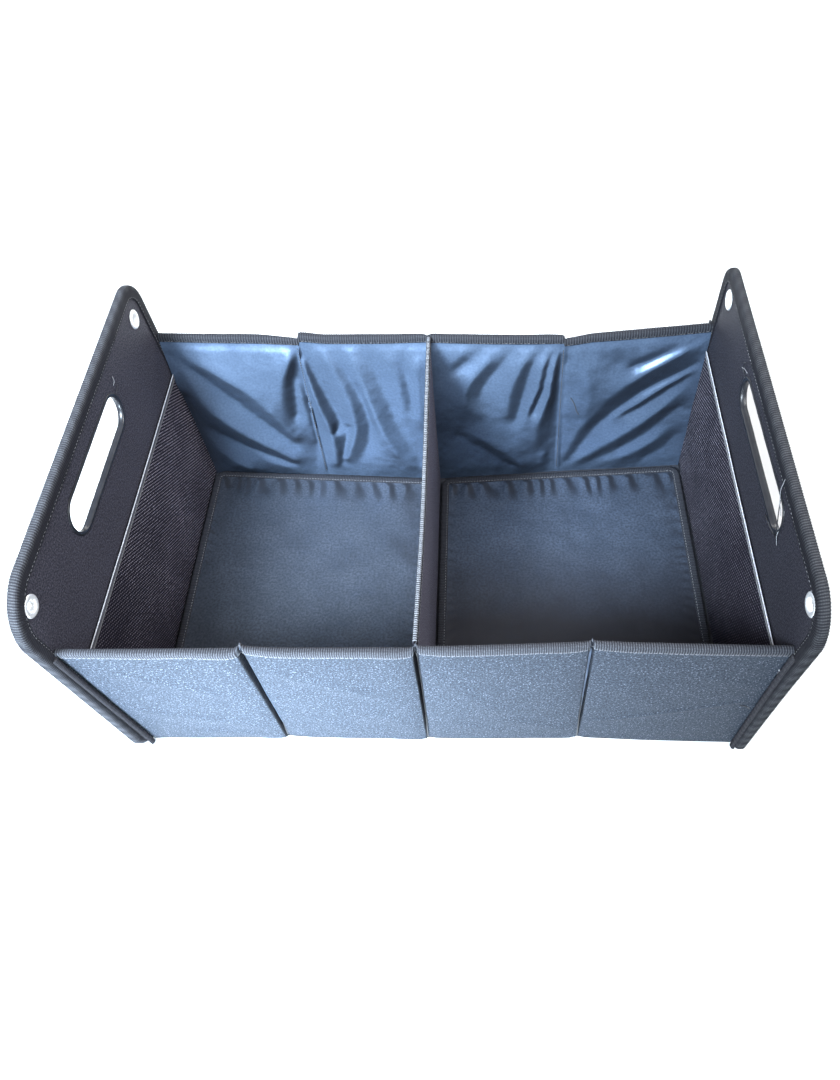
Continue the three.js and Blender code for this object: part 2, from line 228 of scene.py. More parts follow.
def stitches(bag, path, normal, pitch=3.4, length=2.2, radius=0.22, rise=0.12, lean=0.0, side=None, sides=4):
    """Short raised stitches along a line of points; normal points out of the cloth."""
    path = np.asarray(path, float)
    s = np.concatenate([[0], np.cumsum(np.linalg.norm(np.diff(path, axis=0), axis=1))])
    normal = np.broadcast_to(np.asarray(normal, float), path.shape)
    at = np.arange(pitch / 2, s[-1] - pitch / 2, pitch)
    ev = lambda q, A: np.stack([np.interp(q, s, A[:, k]) for k in range(3)], -1)
    for q in at:
        u = np.array([-0.5, -0.25, 0.25, 0.5])
        p = ev(q + u * length, path)
        nn = ev(q + u * length, normal)
        h = rise * (1 - (2 * u) ** 2) - 0.45 * radius
        p = p + nn * h[:, None]
        if side is not None:
            p = p + np.asarray(side)[None] * (u * lean)[:, None]
        V, faces = tube(p, radius, sides)
        bag.add(V, faces, np.zeros((len(V), 2)) + [q, 0])


# polygon tools ------------------------------------------------------
def inset(points, d):
    P = np.asarray(points, float)
    n = len(P)
    nx = np.roll(P, -1, 0)
    area = float((P[:, 0] * nx[:, 1] - nx[:, 0] * P[:, 1]).sum())
    s = 1 if area > 0 else -1
    e = nx - P
    l = np.linalg.norm(e, axis=1)
    N = np.stack([-e[:, 1] / l, e[:, 0] / l], 1) * s
    C = (N * P).sum(1) + d
    out = []
    for i in range(n):
        a, b = (i + n - 1) % n, i
        det = N[a, 0] * N[b, 1] - N[a, 1] * N[b, 0]
        out.append([(C[a] * N[b, 1] - C[b] * N[a, 1]) / det, (N[a, 0] * C[b] - N[b, 0] * C[a]) / det])
    return np.array(out)


def outline(points, d, radii, ncorner, nside, least=0.7):
    """The polygon moved inward by d, with rounded corners; the count of points doesn't depend on d."""
    P = inset(points, d) if d else np.asarray(points, float)
    n = len(P)
    starts, arcs = [], []
    for i in range(n):
        p = P[i]
        a = P[i - 1] - p
        b = P[(i + 1) % n] - p
        a, b = a / np.linalg.norm(a), b / np.linalg.norm(b)
        r = max(radii[i] - d, least)
        half = math.acos(np.clip(a @ b, -1, 1)) / 2
        c = (a + b) / np.linalg.norm(a + b)
        centre = p + c * (r / math.sin(half))
        s = p + a * (r / math.tan(half)) - centre
        e = p + b * (r / math.tan(half)) - centre
        a0 = math.atan2(s[1], s[0])
        da = math.atan2(e[1], e[0]) - a0
        da = (da + pi) % (2 * pi) - pi
        k = np.linspace(0, 1, ncorner[i] + 1)
        arcs.append(centre + r * np.stack([np.cos(a0 + da * k), np.sin(a0 + da * k)], 1))
    out = []
    for i in range(n):
        out.append(arcs[i])
        q = arcs[(i + 1) % n][0]
        k = np.linspace(0, 1, nside[i] + 2)[1:-1, None]
        out.append(arcs[i][-1] + (q - arcs[i][-1]) * k)
    return np.concatenate(out)


def counts(points, radii, step):
    P = np.asarray(points, float)
    n = len(P)
    nc = [max(4, int(round(r * pi / 2 / step))) for r in radii]
    ns = []
    for i in range(n):
        l = np.linalg.norm(P[(i + 1) % n] - P[i]) - radii[i] - radii[(i + 1) % n]
        ns.append(max(2, int(round(l / step))))
    return nc, ns


def stadium(cx, cy, length, height, n=20, straight=24):
    r, h = height / 2, length / 2 - height / 2
    out = []
    for a in np.linspace(-pi / 2, pi / 2, n + 1):
        out.append([cx + h + r * math.cos(a), cy + r * math.sin(a)])
    for k in np.linspace(0, 1, straight + 2)[1:-1]:
        out.append([cx + h - 2 * h * k, cy + r])
    for a in np.linspace(pi / 2, 1.5 * pi, n + 1):
        out.append([cx - h + r * math.cos(a), cy + r * math.sin(a)])
    for k in np.linspace(0, 1, straight + 2)[1:-1]:
        out.append([cx - h + 2 * h * k, cy - r])
    return np.array(out)


def circle(cx, cy, r, n=40):
    a = np.arange(n) * 2 * pi / n
    return np.stack([cx + r * np.cos(a), cy + r * np.sin(a)], 1)


def inside(p, poly):
    x, y = p[:, 0][:, None], p[:, 1][:, None]
    q = np.roll(poly, -1, 0)
    x0, y0, x1, y1 = poly[:, 0], poly[:, 1], q[:, 0], q[:, 1]
    cross = (y0 > y) != (y1 > y)
    with np.errstate(divide="ignore", invalid="ignore"):
        xi = x0 + (y - y0) * (x1 - x0) / (y1 - y0)
    return (np.where(cross, x < xi, False).sum(1) % 2) == 1


def distance(p, poly):
    q = np.roll(poly, -1, 0)
    d = q - poly
    out = np.full(len(p), 1e9)
    for k in range(0, len(p), 4000):
        w = p[k : k + 4000, None] - poly[None]
        t = np.clip((w * d).sum(-1) / (d * d).sum(-1), 0, 1)
        out[k : k + 4000] = np.linalg.norm(w - t[..., None] * d, axis=-1).min(1)
    return out


def region(outer, holes, step):
    """Triangles of a flat region: (points, triangles)."""
    lo, hi = outer.min(0), outer.max(0)
    nx, ny = int((hi[0] - lo[0]) / step), int((hi[1] - lo[1]) / (step * 0.866))
    gx, gy = np.meshgrid(np.linspace(lo[0], hi[0], nx + 1), np.linspace(lo[1], hi[1], ny + 1))
    gx = gx + (np.arange(ny + 1) % 2)[:, None] * step / 2
    p = np.stack([gx.ravel(), gy.ravel()], 1)
    p = p[inside(p, outer)]
    p = p[distance(p, outer) > 0.6 * step]
    for h in holes:
        p = p[~inside(p, h)]
        p = p[distance(p, h) > 0.6 * step]
    pts, edges, n = [], [], 0
    for loop in [outer, *holes]:
        k = len(loop)
        pts.append(loop)
        edges += [(n + i, n + (i + 1) % k) for i in range(k)]
        n += k
    pts.append(p)
    allp = np.concatenate(pts)
    vs, _, fs, _, _, _ = delaunay_2d_cdt([Vector((float(a), float(b))) for a, b in allp], edges, [], 0, 1e-5)
    V = np.array([(v.x, v.y) for v in vs])
    T = np.array([f for f in fs if len(f) == 3])
    c = V[T].mean(1)
    keep = inside(c, outer)
    for h in holes:
        keep &= ~inside(c, h)
    T = T[keep]
    a, b, d = V[T[:, 0]], V[T[:, 1]], V[T[:, 2]]
    turn = (b[:, 0] - a[:, 0]) * (d[:, 1] - a[:, 1]) - (b[:, 1] - a[:, 1]) * (d[:, 0] - a[:, 0])
    T[turn < 0] = T[turn < 0][:, ::-1]
    used, T = np.unique(T, return_inverse=True)
    return V[used], T.reshape(-1, 3)


def region_solid(name, flat, front, back, mat, body="shell", sharp=60):
    """Closed plate on a flat region; front and back give the two faces' points."""
    V2, T = flat
    n = len(V2)
    V = np.concatenate([front(V2[:, 0], V2[:, 1]), back(V2[:, 0], V2[:, 1])])
    e = np.concatenate([T[:, [0, 1]], T[:, [1, 2]], T[:, [2, 0]]])
    key = np.minimum(e[:, 0], e[:, 1]) * n + np.maximum(e[:, 0], e[:, 1])
    _, first, count = np.unique(key, return_index=True, return_counts=True)
    b = e[first[count == 1]]
    rim = np.stack([b[:, 1], b[:, 0], b[:, 0] + n, b[:, 1] + n], 1)
    return make(name, V, [T, T[:, ::-1] + n, rim], mat, np.concatenate([V2, V2]), body, sharp)


# ------------------------------------------------------------------ materials
class Nodes:
    def __init__(self, name):
        self.m = bpy.data.materials.new(name)
        self.m.use_nodes = True
        self.t = self.m.node_tree
        self.bsdf = self.t.nodes["Principled BSDF"]
        self.x = 0

    def new(self, kind, **values):
        n = self.t.nodes.new(kind)
        self.x -= 180
        n.location = (self.x, 0)
        for k, v in values.items():
            setattr(n, k, v)
        return n

    def link(self, a, b):
        self.t.links.new(a, b)

    def put(self, socket, value):
        if hasattr(value, "is_output"):
            self.link(value, socket)
        else:
            socket.default_value = value

    def uv(self, sx=1.0, sy=1.0, angle=0.0):
        a = self.new("ShaderNodeUVMap", uv_map="UVMap")
        n = self.new("ShaderNodeMapping")
        n.inputs["Scale"].default_value = (sx, sy, 1)
        n.inputs["Rotation"].default_value = (0, 0, angle)
        self.link(a.outputs[0], n.inputs[0])
        return n.outputs[0]

    def place(self, sx=1.0, sy=1.0, sz=1.0):
        a = self.new("ShaderNodeTexCoord")
        n = self.new("ShaderNodeMapping")
        n.inputs["Scale"].default_value = (1000 * sx, 1000 * sy, 1000 * sz)
        self.link(a.outputs["Object"], n.inputs[0])
        return n.outputs[0]

    def math(self, op, a, b=0.0, clamp=False):
        n = self.new("ShaderNodeMath", operation=op, use_clamp=clamp)
        self.put(n.inputs[0], a)
        self.put(n.inputs[1], b)
        return n.outputs[0]

    def noise(self, vec, scale, detail=2.0, rough=0.5):
        n = self.new("ShaderNodeTexNoise")
        self.link(vec, n.inputs["Vector"])
        n.inputs["Scale"].default_value = scale
        n.inputs["Detail"].default_value = detail
        n.inputs["Roughness"].default_value = rough
        return n.outputs[0]

    def voronoi(self, vec, scale, feature="F1"):
        n = self.new("ShaderNodeTexVoronoi", feature=feature)
        self.link(vec, n.inputs["Vector"])
        n.inputs["Scale"].default_value = scale
        return n.outputs

    def split(self, vec):
        n = self.new("ShaderNodeSeparateXYZ")
        self.link(vec, n.inputs[0])
        return n.outputs

    def ramp(self, fac, stops):
        n = self.new("ShaderNodeValToRGB")
        self.link(fac, n.inputs[0])
        e = n.color_ramp.elements
        while len(e) < len(stops):
            e.new(0.5)
        for el, (pos, col) in zip(e, stops):
            el.position = pos
            el.color = (*col, 1) if len(col) == 3 else col
        return n.outputs[0]

    def maprange(self, v, a, b, c, d):
        n = self.new("ShaderNodeMapRange")
        self.link(v, n.inputs[0])
        for k, val in zip(("From Min", "From Max", "To Min", "To Max"), (a, b, c, d)):
            n.inputs[k].default_value = val
        return n.outputs[0]

    def mix(self, fac, a, b, mode="MIX"):
        n = self.new("ShaderNodeMix", data_type="RGBA", blend_type=mode)
        self.put(n.inputs[0], fac)
        for s, v in ((n.inputs[6], a), (n.inputs[7], b)):
            if hasattr(v, "is_output"):
                self.link(v, s)
            else:
                s.default_value = (*v, 1)
        return n.outputs[2]

    def bump(self, height, distance, strength=1.0, normal=None):
        n = self.new("ShaderNodeBump")
        self.link(height, n.inputs["Height"])
        n.inputs["Distance"].default_value = distance
        n.inputs["Strength"].default_value = strength
        if normal is not None:
            self.link(normal, n.inputs["Normal"])
        return n.outputs[0]

    def done(self, color, rough, normal=None, **sockets):
        self.put(self.bsdf.inputs["Base Color"], color)
        self.put(self.bsdf.inputs["Roughness"], rough)
        if normal is not None:
            self.link(normal, self.bsdf.inputs["Normal"])
        for k, v in sockets.items():
            self.bsdf.inputs[k.replace("_", " ")].default_value = v
        return self.m


def weave_height(n, pitch, seedscale=0.25, angle=0.0):
    """Plain weave with uneven yarns: height from 0 to 1."""
    v = n.uv(angle=angle)
    wob = n.noise(v, seedscale, 2.0)
    s = n.split(v)
    k = 2 * pi / pitch
    a = n.math("MULTIPLY", s[0], k)
    b = n.math("MULTIPLY", s[1], k)
    w = n.math("MULTIPLY", wob, 3.0)
    a = n.math("SINE", n.math("ADD", a, w))
    b = n.math("SINE", n.math("SUBTRACT", b, w))
    return n.math("ADD", n.math("MULTIPLY", n.math("MULTIPLY", a, b), 0.5), 0.5)


def mat_outer():
    """Coarse woven polyester of the long walls, with painted glints: bright spots in its colour that stand in for
    sparkles of light on the yarn.
    """
    n = Nodes("outer_fabric")
    h = weave_height(n, 1.5)
    v = n.uv()
    grain = n.noise(v, 0.72, 2.0, 0.7)
    fine = n.noise(v, 1.5, 2.0, 0.7)
    patch = n.noise(v, 0.04, 3.0, 0.55)
    painted_glint = n.voronoi(v, 0.52)["Distance"]
    base = n.ramp(patch, [(0.3, (0.024, 0.030, 0.043)), (0.7, (0.033, 0.041, 0.057))])
    yarn = n.mix(n.maprange(grain, 0.36, 0.64, 0.0, 1.0), (0.004, 0.006, 0.011), (0.080, 0.097, 0.128))
    col = n.mix(0.72, base, yarn)
    col = n.mix(n.maprange(h, 0.2, 1.0, 0.0, 0.22), col, (0.070, 0.085, 0.112))
    col = n.mix(n.maprange(fine, 0.35, 0.65, 0.35, 0.0), col, (0.010, 0.014, 0.022))
    # painted highlight: small bright spots in the colour stand in for glints of light on the yarn
    col = n.mix(n.maprange(painted_glint, 0.0, 0.30, 0.9, 0.0), col, (0.27, 0.31, 0.38))
    height = n.math("ADD", n.math("MULTIPLY", h, 0.6), n.math("MULTIPLY", grain, 1.0))
    # painted shade: the cloth's colour is darkened where its normal turns sideways, inside the creases
    turn = n.split(n.new("ShaderNodeNewGeometry").outputs["Normal"])
    col = n.mix(n.maprange(n.math("ABSOLUTE", turn[1]), 0.45, 0.955, 0.9, 0.0), col, (0.005, 0.005, 0.007))
    nm = n.bump(height, 0.00045, 0.8)
    rough = n.maprange(grain, 0.3, 0.7, 0.75, 0.6)
    return n.done(col, rough, nm, Specular_IOR_Level=0.12)


def mat_lining(name="lining", a=(0.128, 0.188, 0.298), b=(0.162, 0.236, 0.368), rough=(0.33, 0.41), fine=0.00006, metal=0.62, facing_shade=(0.14, 0.08, 0.53), grain=(0.5, 0.70), front_shade=None, corner=(-237.0, -206.0, 100.0, 155.0)):
    """Coated nylon: smooth, with a blue satin gloss and fine creases."""
    n = Nodes(name)
    v = n.uv()
    h = weave_height(n, 0.62, 0.5)
    patch = n.noise(v, 0.03, 4.0, 0.6)
    fine_n = n.noise(v, 0.45, 3.0, 0.6)
    crease = n.noise(n.uv(1.0, 0.45, 0.5), 0.09, 3.0, 0.5)
    col = n.ramp(patch, [(0.3, a), (0.7, b)])
    col = n.mix(n.maprange(fine_n, 0.35, 0.65, 0.0, grain[0]), col, tuple(grain[1] * k for k in a))
    if facing_shade:
        # painted shade: the colour darkens where the cloth's normal turns away from a fixed direction up, front and
        # left, towards the lamps
        geo, dot = n.new("ShaderNodeNewGeometry"), n.new("ShaderNodeVectorMath", operation="DOT_PRODUCT")
        n.link(geo.outputs["Normal"], dot.inputs[0])
        dot.inputs[1].default_value = (-0.36, -0.43, 0.83)
        lean = n.maprange(dot.outputs["Value"], facing_shade[1], facing_shade[2], 1.0, 0.0)
        lean = n.ramp(lean, [(0.0, (0.0, 0.0, 0.0)), (0.40, (0.66, 0.66, 0.66)), (1.0, (1.0, 1.0, 1.0))])
        col = n.mix(lean, col, tuple(facing_shade[0] * k for k in (a[0] * 1.15, a[1], a[2] * 0.92)))
    if corner:
        # painted shade: the lining's colour is darkened beside the left end panel, where it turns away into shadow
        e = n.split(n.place())
        w = n.math("MULTIPLY", n.maprange(e[0], corner[0], corner[1], 1.0, 0.0), n.maprange(e[2], corner[2], corner[3], 0.85, 0.0))
        col = n.mix(w, col, tuple(0.2 * k for k in (a[0] * 1.3, a[1], a[2] * 0.85)))
    if front_shade:
        # painted shade: darker towards the front edge, where the front wall's shadow falls
        e = n.split(n.uv())
        w = n.math("ADD", e[1], n.math("MULTIPLY", n.noise(v, 0.02, 3.0, 0.6), 34.0))
        col = n.mix(n.maprange(w, front_shade[0], front_shade[1], 0.0, 1.0), (0.024, 0.024, 0.032), col)
    nm = n.bump(crease, 0.0012, 0.3)
    nm = n.bump(fine_n, 0.00025, 0.35, nm)
    nm = n.bump(h, fine, 0.5, nm)
    r = n.maprange(patch, 0.3, 0.7, rough[0], rough[1])
    return n.done(col, r, nm, Specular_IOR_Level=0.6, Metallic=metal)


def mat_panel(name="panel_fabric", gain=1.0):
    """Close black fabric of the end panels and the divider."""
    n = Nodes(name)
    v = n.uv()
    h = weave_height(n, 1.6)
    patch = n.noise(v, 0.02, 4.0, 0.6)
    fine_n = n.noise(v, 0.8, 2.0, 0.7)
    col = n.ramp(patch, [(0.3, (0.013, 0.0125, 0.018)), (0.7, (0.021, 0.020, 0.028))])
    col = n.mix(n.maprange(fine_n, 0.42, 0.66, 0.0, 0.75), col, (0.088, 0.086, 0.108))
    col = n.mix(1.0, col, (gain, gain, 1.04 * gain), "MULTIPLY")
    nm = n.bump(h, 0.00022, 0.6)
    nm = n.bump(fine_n, 0.00035, 0.5, nm)
    return n.done(col, n.maprange(fine_n, 0.3, 0.7, 0.75, 0.6), nm, Specular_IOR_Level=0.25)


def mat_tape(name, pitch=1.75, dark=(0.012, 0.012, 0.016), light=(0.50, 0.53, 0.60), across=((0.0, 0.5), (1.0, 0.5)), reach=14.0, flat=(0.020, 0.020, 0.026), slant=0.0):
    """Ribbed edge tape: ribs run across it. The first UV axis is its length; the second is 0 at the fold."""
    n = Nodes(name)
    v = n.uv()
    s = n.split(v)
    wob = n.noise(v, 0.35, 1.0)
    a = n.math("ADD", n.math("MULTIPLY", s[0], 2 * pi / pitch), n.math("MULTIPLY", n.math("SUBTRACT", wob, 0.5), 0.8))
    a = n.math("ADD", a, n.math("MULTIPLY", s[1], slant))
    rib = n.math("ADD", n.math("MULTIPLY", n.math("SINE", a), 0.5), 0.5)
    yarn = n.math("ADD", n.math("MULTIPLY", n.math("SINE", n.math("MULTIPLY", s[1], 2 * pi / 1.3)), 0.5), 0.5)
    fuzz = n.noise(v, 1.1, 2.0, 0.7)
    edge = n.math("MULTIPLY", n.math("POWER", rib, 1.3), n.maprange(yarn, 0, 1, 0.7, 1.0))
    edge = n.math("MULTIPLY", edge, n.maprange(fuzz, 0.32, 0.68, 0.45, 1.15))
    mask = n.ramp(n.maprange(s[1], -reach, reach, 0.0, 1.0), [(p, (k, k, k)) for p, k in across])
    col = n.mix(n.maprange(fuzz, 0.35, 0.65, 0.0, 1.0), dark, flat)
    col = n.mix(n.math("MULTIPLY", edge, mask), col, light)
    hh = n.math("ADD", rib, n.math("MULTIPLY", yarn, 0.3))
    nm = n.bump(hh, 0.0003, 0.6)
    nm = n.bump(fuzz, 0.0003, 0.4, nm)
    return n.done(col, 0.72, nm, Specular_IOR_Level=0.15)


def mat_mesh(name="mesh", gain=1.0, angle=0.60, pitch=2.6):
    """Net fabric: rows of small dark openings between light knots."""
    n = Nodes(name)
    v = n.uv(angle=angle)
    s = n.split(v)
    k = 2 * pi / pitch
    p = n.math("ADD", n.math("MULTIPLY", n.math("SINE", n.math("MULTIPLY", s[0], k)), 0.5), 0.5)
    q = n.math("ADD", n.math("MULTIPLY", n.math("SINE", n.math("MULTIPLY", s[1], k)), 0.5), 0.5)
    knot = n.math("MULTIPLY", n.math("ADD", n.math("MULTIPLY", p, 0.8), 0.2), q)
    spark = n.noise(v, 0.4, 2.0)
    patch = n.noise(v, 0.02, 3.0)
    k2 = n.math("MULTIPLY", n.math("POWER", knot, 2.6), n.maprange(spark, 0.35, 0.65, 0.35, 1.2))
    k2 = n.math("MULTIPLY", k2, n.maprange(patch, 0.3, 0.7, 0.55, 1.1))
    # painted shade: the knots grow darker towards the front end of the net, where the front wall's shadow falls
    k2 = n.math("MULTIPLY", k2, n.maprange(n.split(n.uv())[0], -110.0, 60.0, 0.30, 1.0))
    col = n.mix(k2, (0.005, 0.004, 0.009), (0.66 * gain, 0.61 * gain, 0.72 * gain))
    nm = n.bump(knot, 0.0005, 0.6)
    return n.done(col, 0.70, nm, Specular_IOR_Level=0.12)


def mat_hem():
    n = Nodes("hem_tape")
    v = n.uv()
    s = n.split(v)
    f = n.noise(v, 0.9, 2.0, 0.7)
    line = n.math("ADD", n.math("MULTIPLY", n.math("SINE", n.math("MULTIPLY", s[0], 2 * pi / 1.2)), 0.5), 0.5)
    col = n.mix(n.maprange(f, 0.35, 0.7, 0, 1), (0.022, 0.022, 0.031), (0.06, 0.06, 0.08))
    nm = n.bump(line, 0.00015, 0.5)
    return n.done(col, 0.6, nm, Specular_IOR_Level=0.5, Sheen_Weight=0.15)


def mat_hem_edge():
    n = Nodes("hem_edge")
    v = n.uv()
    f = n.noise(v, 0.6, 2.0, 0.7)
    col = n.mix(n.maprange(f, 0.35, 0.7, 0, 1), (0.34, 0.35, 0.40), (0.85, 0.87, 0.92))
    return n.done(col, 0.35, n.bump(f, 0.0002, 0.4), Specular_IOR_Level=0.7)


def mat_thread(name="thread", c=(0.16, 0.165, 0.18)):
    n = Nodes(name)
    v = n.place()
    f = n.noise(v, 1.4, 2.0, 0.7)
    col = n.mix(n.maprange(f, 0.35, 0.7, 0, 1), tuple(0.5 * k for k in c), c)
    return n.done(col, 0.55, n.bump(f, 0.0001, 0.5), Sheen_Weight=0.3)


def mat_trim():
    n = Nodes("slot_trim")
    v = n.place()
    f = n.noise(v, 0.12, 3.0, 0.6)
    col = n.mix(f, (0.007, 0.0075, 0.010), (0.018, 0.019, 0.024))
    return n.done(col, n.maprange(f, 0.3, 0.7, 0.28, 0.42), n.bump(f, 0.0004, 0.25), Specular_IOR_Level=0.45, Coat_Weight=0.15, Coat_Roughness=0.2)


def mat_steel():
    n = Nodes("eyelet_steel")
    v = n.place()
    f = n.noise(v, 0.5, 3.0, 0.6)
    g = n.noise(v, 2.5, 2.0, 0.6)
    col = n.mix(f, (0.84, 0.84, 0.84), (0.93, 0.93, 0.94))
    return n.done(col, n.maprange(g, 0.3, 0.7, 0.26, 0.40), n.bump(g, 0.00005, 0.3), Metallic=0.55)


def mat_board():
    n = Nodes("board")
    v = n.place(1, 1, 1)
    f = n.noise(v, 0.08, 4.0, 0.65)
    g = n.noise(v, 1.2, 2.0, 0.6)
    col = n.mix(f, (0.09, 0.08, 0.068), (0.15, 0.135, 0.115))
    col = n.mix(n.maprange(g, 0.4, 0.7, 0, 0.5), col, (0.2, 0.18, 0.155))
    return n.done(col, 0.8, n.bump(g, 0.0003, 0.5), Specular_IOR_Level=0.3)


OUTER, LINING, PANEL, MESH = mat_outer(), mat_lining(), mat_panel(), mat_mesh()
DIVIDER = mat_panel("divider_fabric", 1.9)
# painted shade: darker copies of the panel fabric (gain 0.66) and of the net (gain 0.78) for the right end panel; the
# right net's row angle and pitch are its own
PANEL_SHADED_R, MESH_SHADED_R = mat_panel("panel_fabric_right_painted_shade", 0.66), mat_mesh("mesh_right_painted_shade", 0.78, 0.42, 3.0)
FLOORCLOTH = mat_lining("floor_fabric", (0.056, 0.068, 0.092), (0.084, 0.100, 0.134), (0.36, 0.46), 0.00012, 0.4, (0.45, 0.73, 0.825), (0.8, 0.5), None, None)
# painted sheen and shade: a bluer copy of the floor cloth for the right compartment, darker towards the front
FLOORCLOTH_SHEEN_SHADE_R = mat_lining("floor_fabric_right_painted_sheen_shade", (0.062, 0.080, 0.116), (0.093, 0.118, 0.170), (0.36, 0.46), 0.00012, 0.4, (0.45, 0.73, 0.825), (0.8, 0.5), (-24.0, 66.0), None)
BASECLOTH = mat_lining("base_fabric", (0.02, 0.022, 0.03), (0.03, 0.032, 0.042), (0.6, 0.7), 0.00012, 0.0, None, (0.6, 0.6), None, None)
HEM, HEMEDGE, THREAD, TRIM, STEEL, BOARD = mat_hem(), mat_hem_edge(), mat_thread(c=(0.26, 0.265, 0.29)), mat_trim(), mat_steel(), mat_board()
BLACK = mat_thread("dark_thread", (0.02, 0.02, 0.025))
# bright ribs on the fold of the end panels' tape, plain dark flanges
PANELTAPE = mat_tape("panel_tape", 1.9, light=(0.090, 0.094, 0.104), slant=0.5, across=((0.0, 0.03), (0.27, 0.03), (0.34, 0.7), (0.5, 1.0), (0.66, 0.7), (0.73, 0.03), (1.0, 0.03)))
# painted shade: a darker copy of the end panels' tape for the right panel
PANELTAPE_SHADED_R = mat_tape("panel_tape_right_painted_shade", 1.9, light=(0.075, 0.078, 0.085), flat=(0.014, 0.014, 0.018), across=((0.0, 0.03), (0.27, 0.03), (0.34, 0.6), (0.5, 1.0), (0.66, 0.6), (0.73, 0.03), (1.0, 0.03)), slant=0.5)
FRONTTAPE = mat_tape("front_tape", 1.6, light=(0.30, 0.325, 0.37), across=((0.0, 0.55), (0.24, 0.8), (0.34, 0.40), (0.5, 0.22), (0.64, 0.22), (1.0, 0.3)))
BACKTAPE = mat_tape("back_tape", 2.2, light=(0.105, 0.115, 0.135), flat=(0.012, 0.012, 0.016), across=((0.0, 0.7), (0.42, 0.5), (0.5, 0.35), (0.62, 0.5), (0.70, 0.7), (1.0, 0.7)))
DIVTAPE = mat_tape("divider_tape", light=(0.33, 0.35, 0.39), across=((0.0, 0.05), (0.42, 0.1), (0.46, 1.0), (0.54, 1.0), (0.58, 0.1), (1.0, 0.05)))
FLOORTAPE = mat_tape("floor_tape", light=(0.085, 0.092, 0.108), across=((0.0, 0.6), (1.0, 0.6)))
SIDETAPE = mat_tape("side_tape", light=(0.075, 0.072, 0.078), across=((0.0, 0.7), (1.0, 0.7)))

# ------------------------------------------------------------------ end panels
A, B = 0.0347, 0.021
HALF, PH, PT = 163.0, 234.5, 6.1
OUTLINES = {
    "left": ([[-162.0, 0.0], [163.0, 0.0], [164.0, 240.5], [-164.0, 236.0]], [27.0, 9.0, 25.0, 40.0]),
    "right": ([[-155.0, 0.0], [163.0, 0.0], [163.5, 236.8], [-161.0, 231.2]], [15.0, 9.0, 19.0, 33.0]),
}
SLOT = {"left": (-3.5, 196.8, 123.5, 29.0), "right": (-4.3, 199.5, 130.0, 24.5)}
EYES = {"left": ((-138.6, 214.3), (136.2, 214.3)), "right": ((-136.5, 214.8), (137.6, 216.5))}


def bow(u, v):
    u, v = np.asarray(u, float), np.asarray(v, float)
    return (3.3 - 0.004 * u - 0.00005 * u * u) * np.clip(1 - v / 150, 0, 1) ** 1.3


def panel_xyz(side, u, v, w):
    u, v, w = np.broadcast_arrays(*(np.asarray(q, float) for q in (u, v, w)))
    if side == "left":
        x = -237.1 - w * math.cos(A) - v * math.sin(A)
        z = v * math.cos(A) - w * math.sin(A) + 0.21
    else:
        x = 245.5 + w * math.cos(B) - v * math.sin(B) + bow(u, v)
        z = v * math.cos(B) + w * math.sin(B)
    return np.stack([x, u, z], -1)


def slot_outline(side, grow, n=20, straight=24):
    cx, cy, l, h = SLOT[side]
    return stadium(cx, cy, l + 2 * grow, h + 2 * grow, n, straight)


def panel_wrinkle(side, u, v, seed):
    """Slight unevenness of the cloth on the board: w offset, positive outward."""
    u, v = np.asarray(u, float), np.asarray(v, float)
    cx, cy, l, h = SLOT[side]
    k = 0.22 * fbm(u, v, seed, 45, 3) + 0.10 * fbm(u, v, seed + 5, 9, 2)
    # puckers that run out from the ends of the hand slot
    for end, sgn in ((cx - l / 2, -1), (cx + l / 2, 1)):
        dx, dy = (u - end) * sgn, v - cy
        r = np.hypot(dx, dy)
        ang = np.arctan2(dy, dx)
        k = k + 0.35 * np.cos(ang * 9 + seed) * np.exp(-((r - 9) / 9) ** 2) * (dx > -8)
    return k


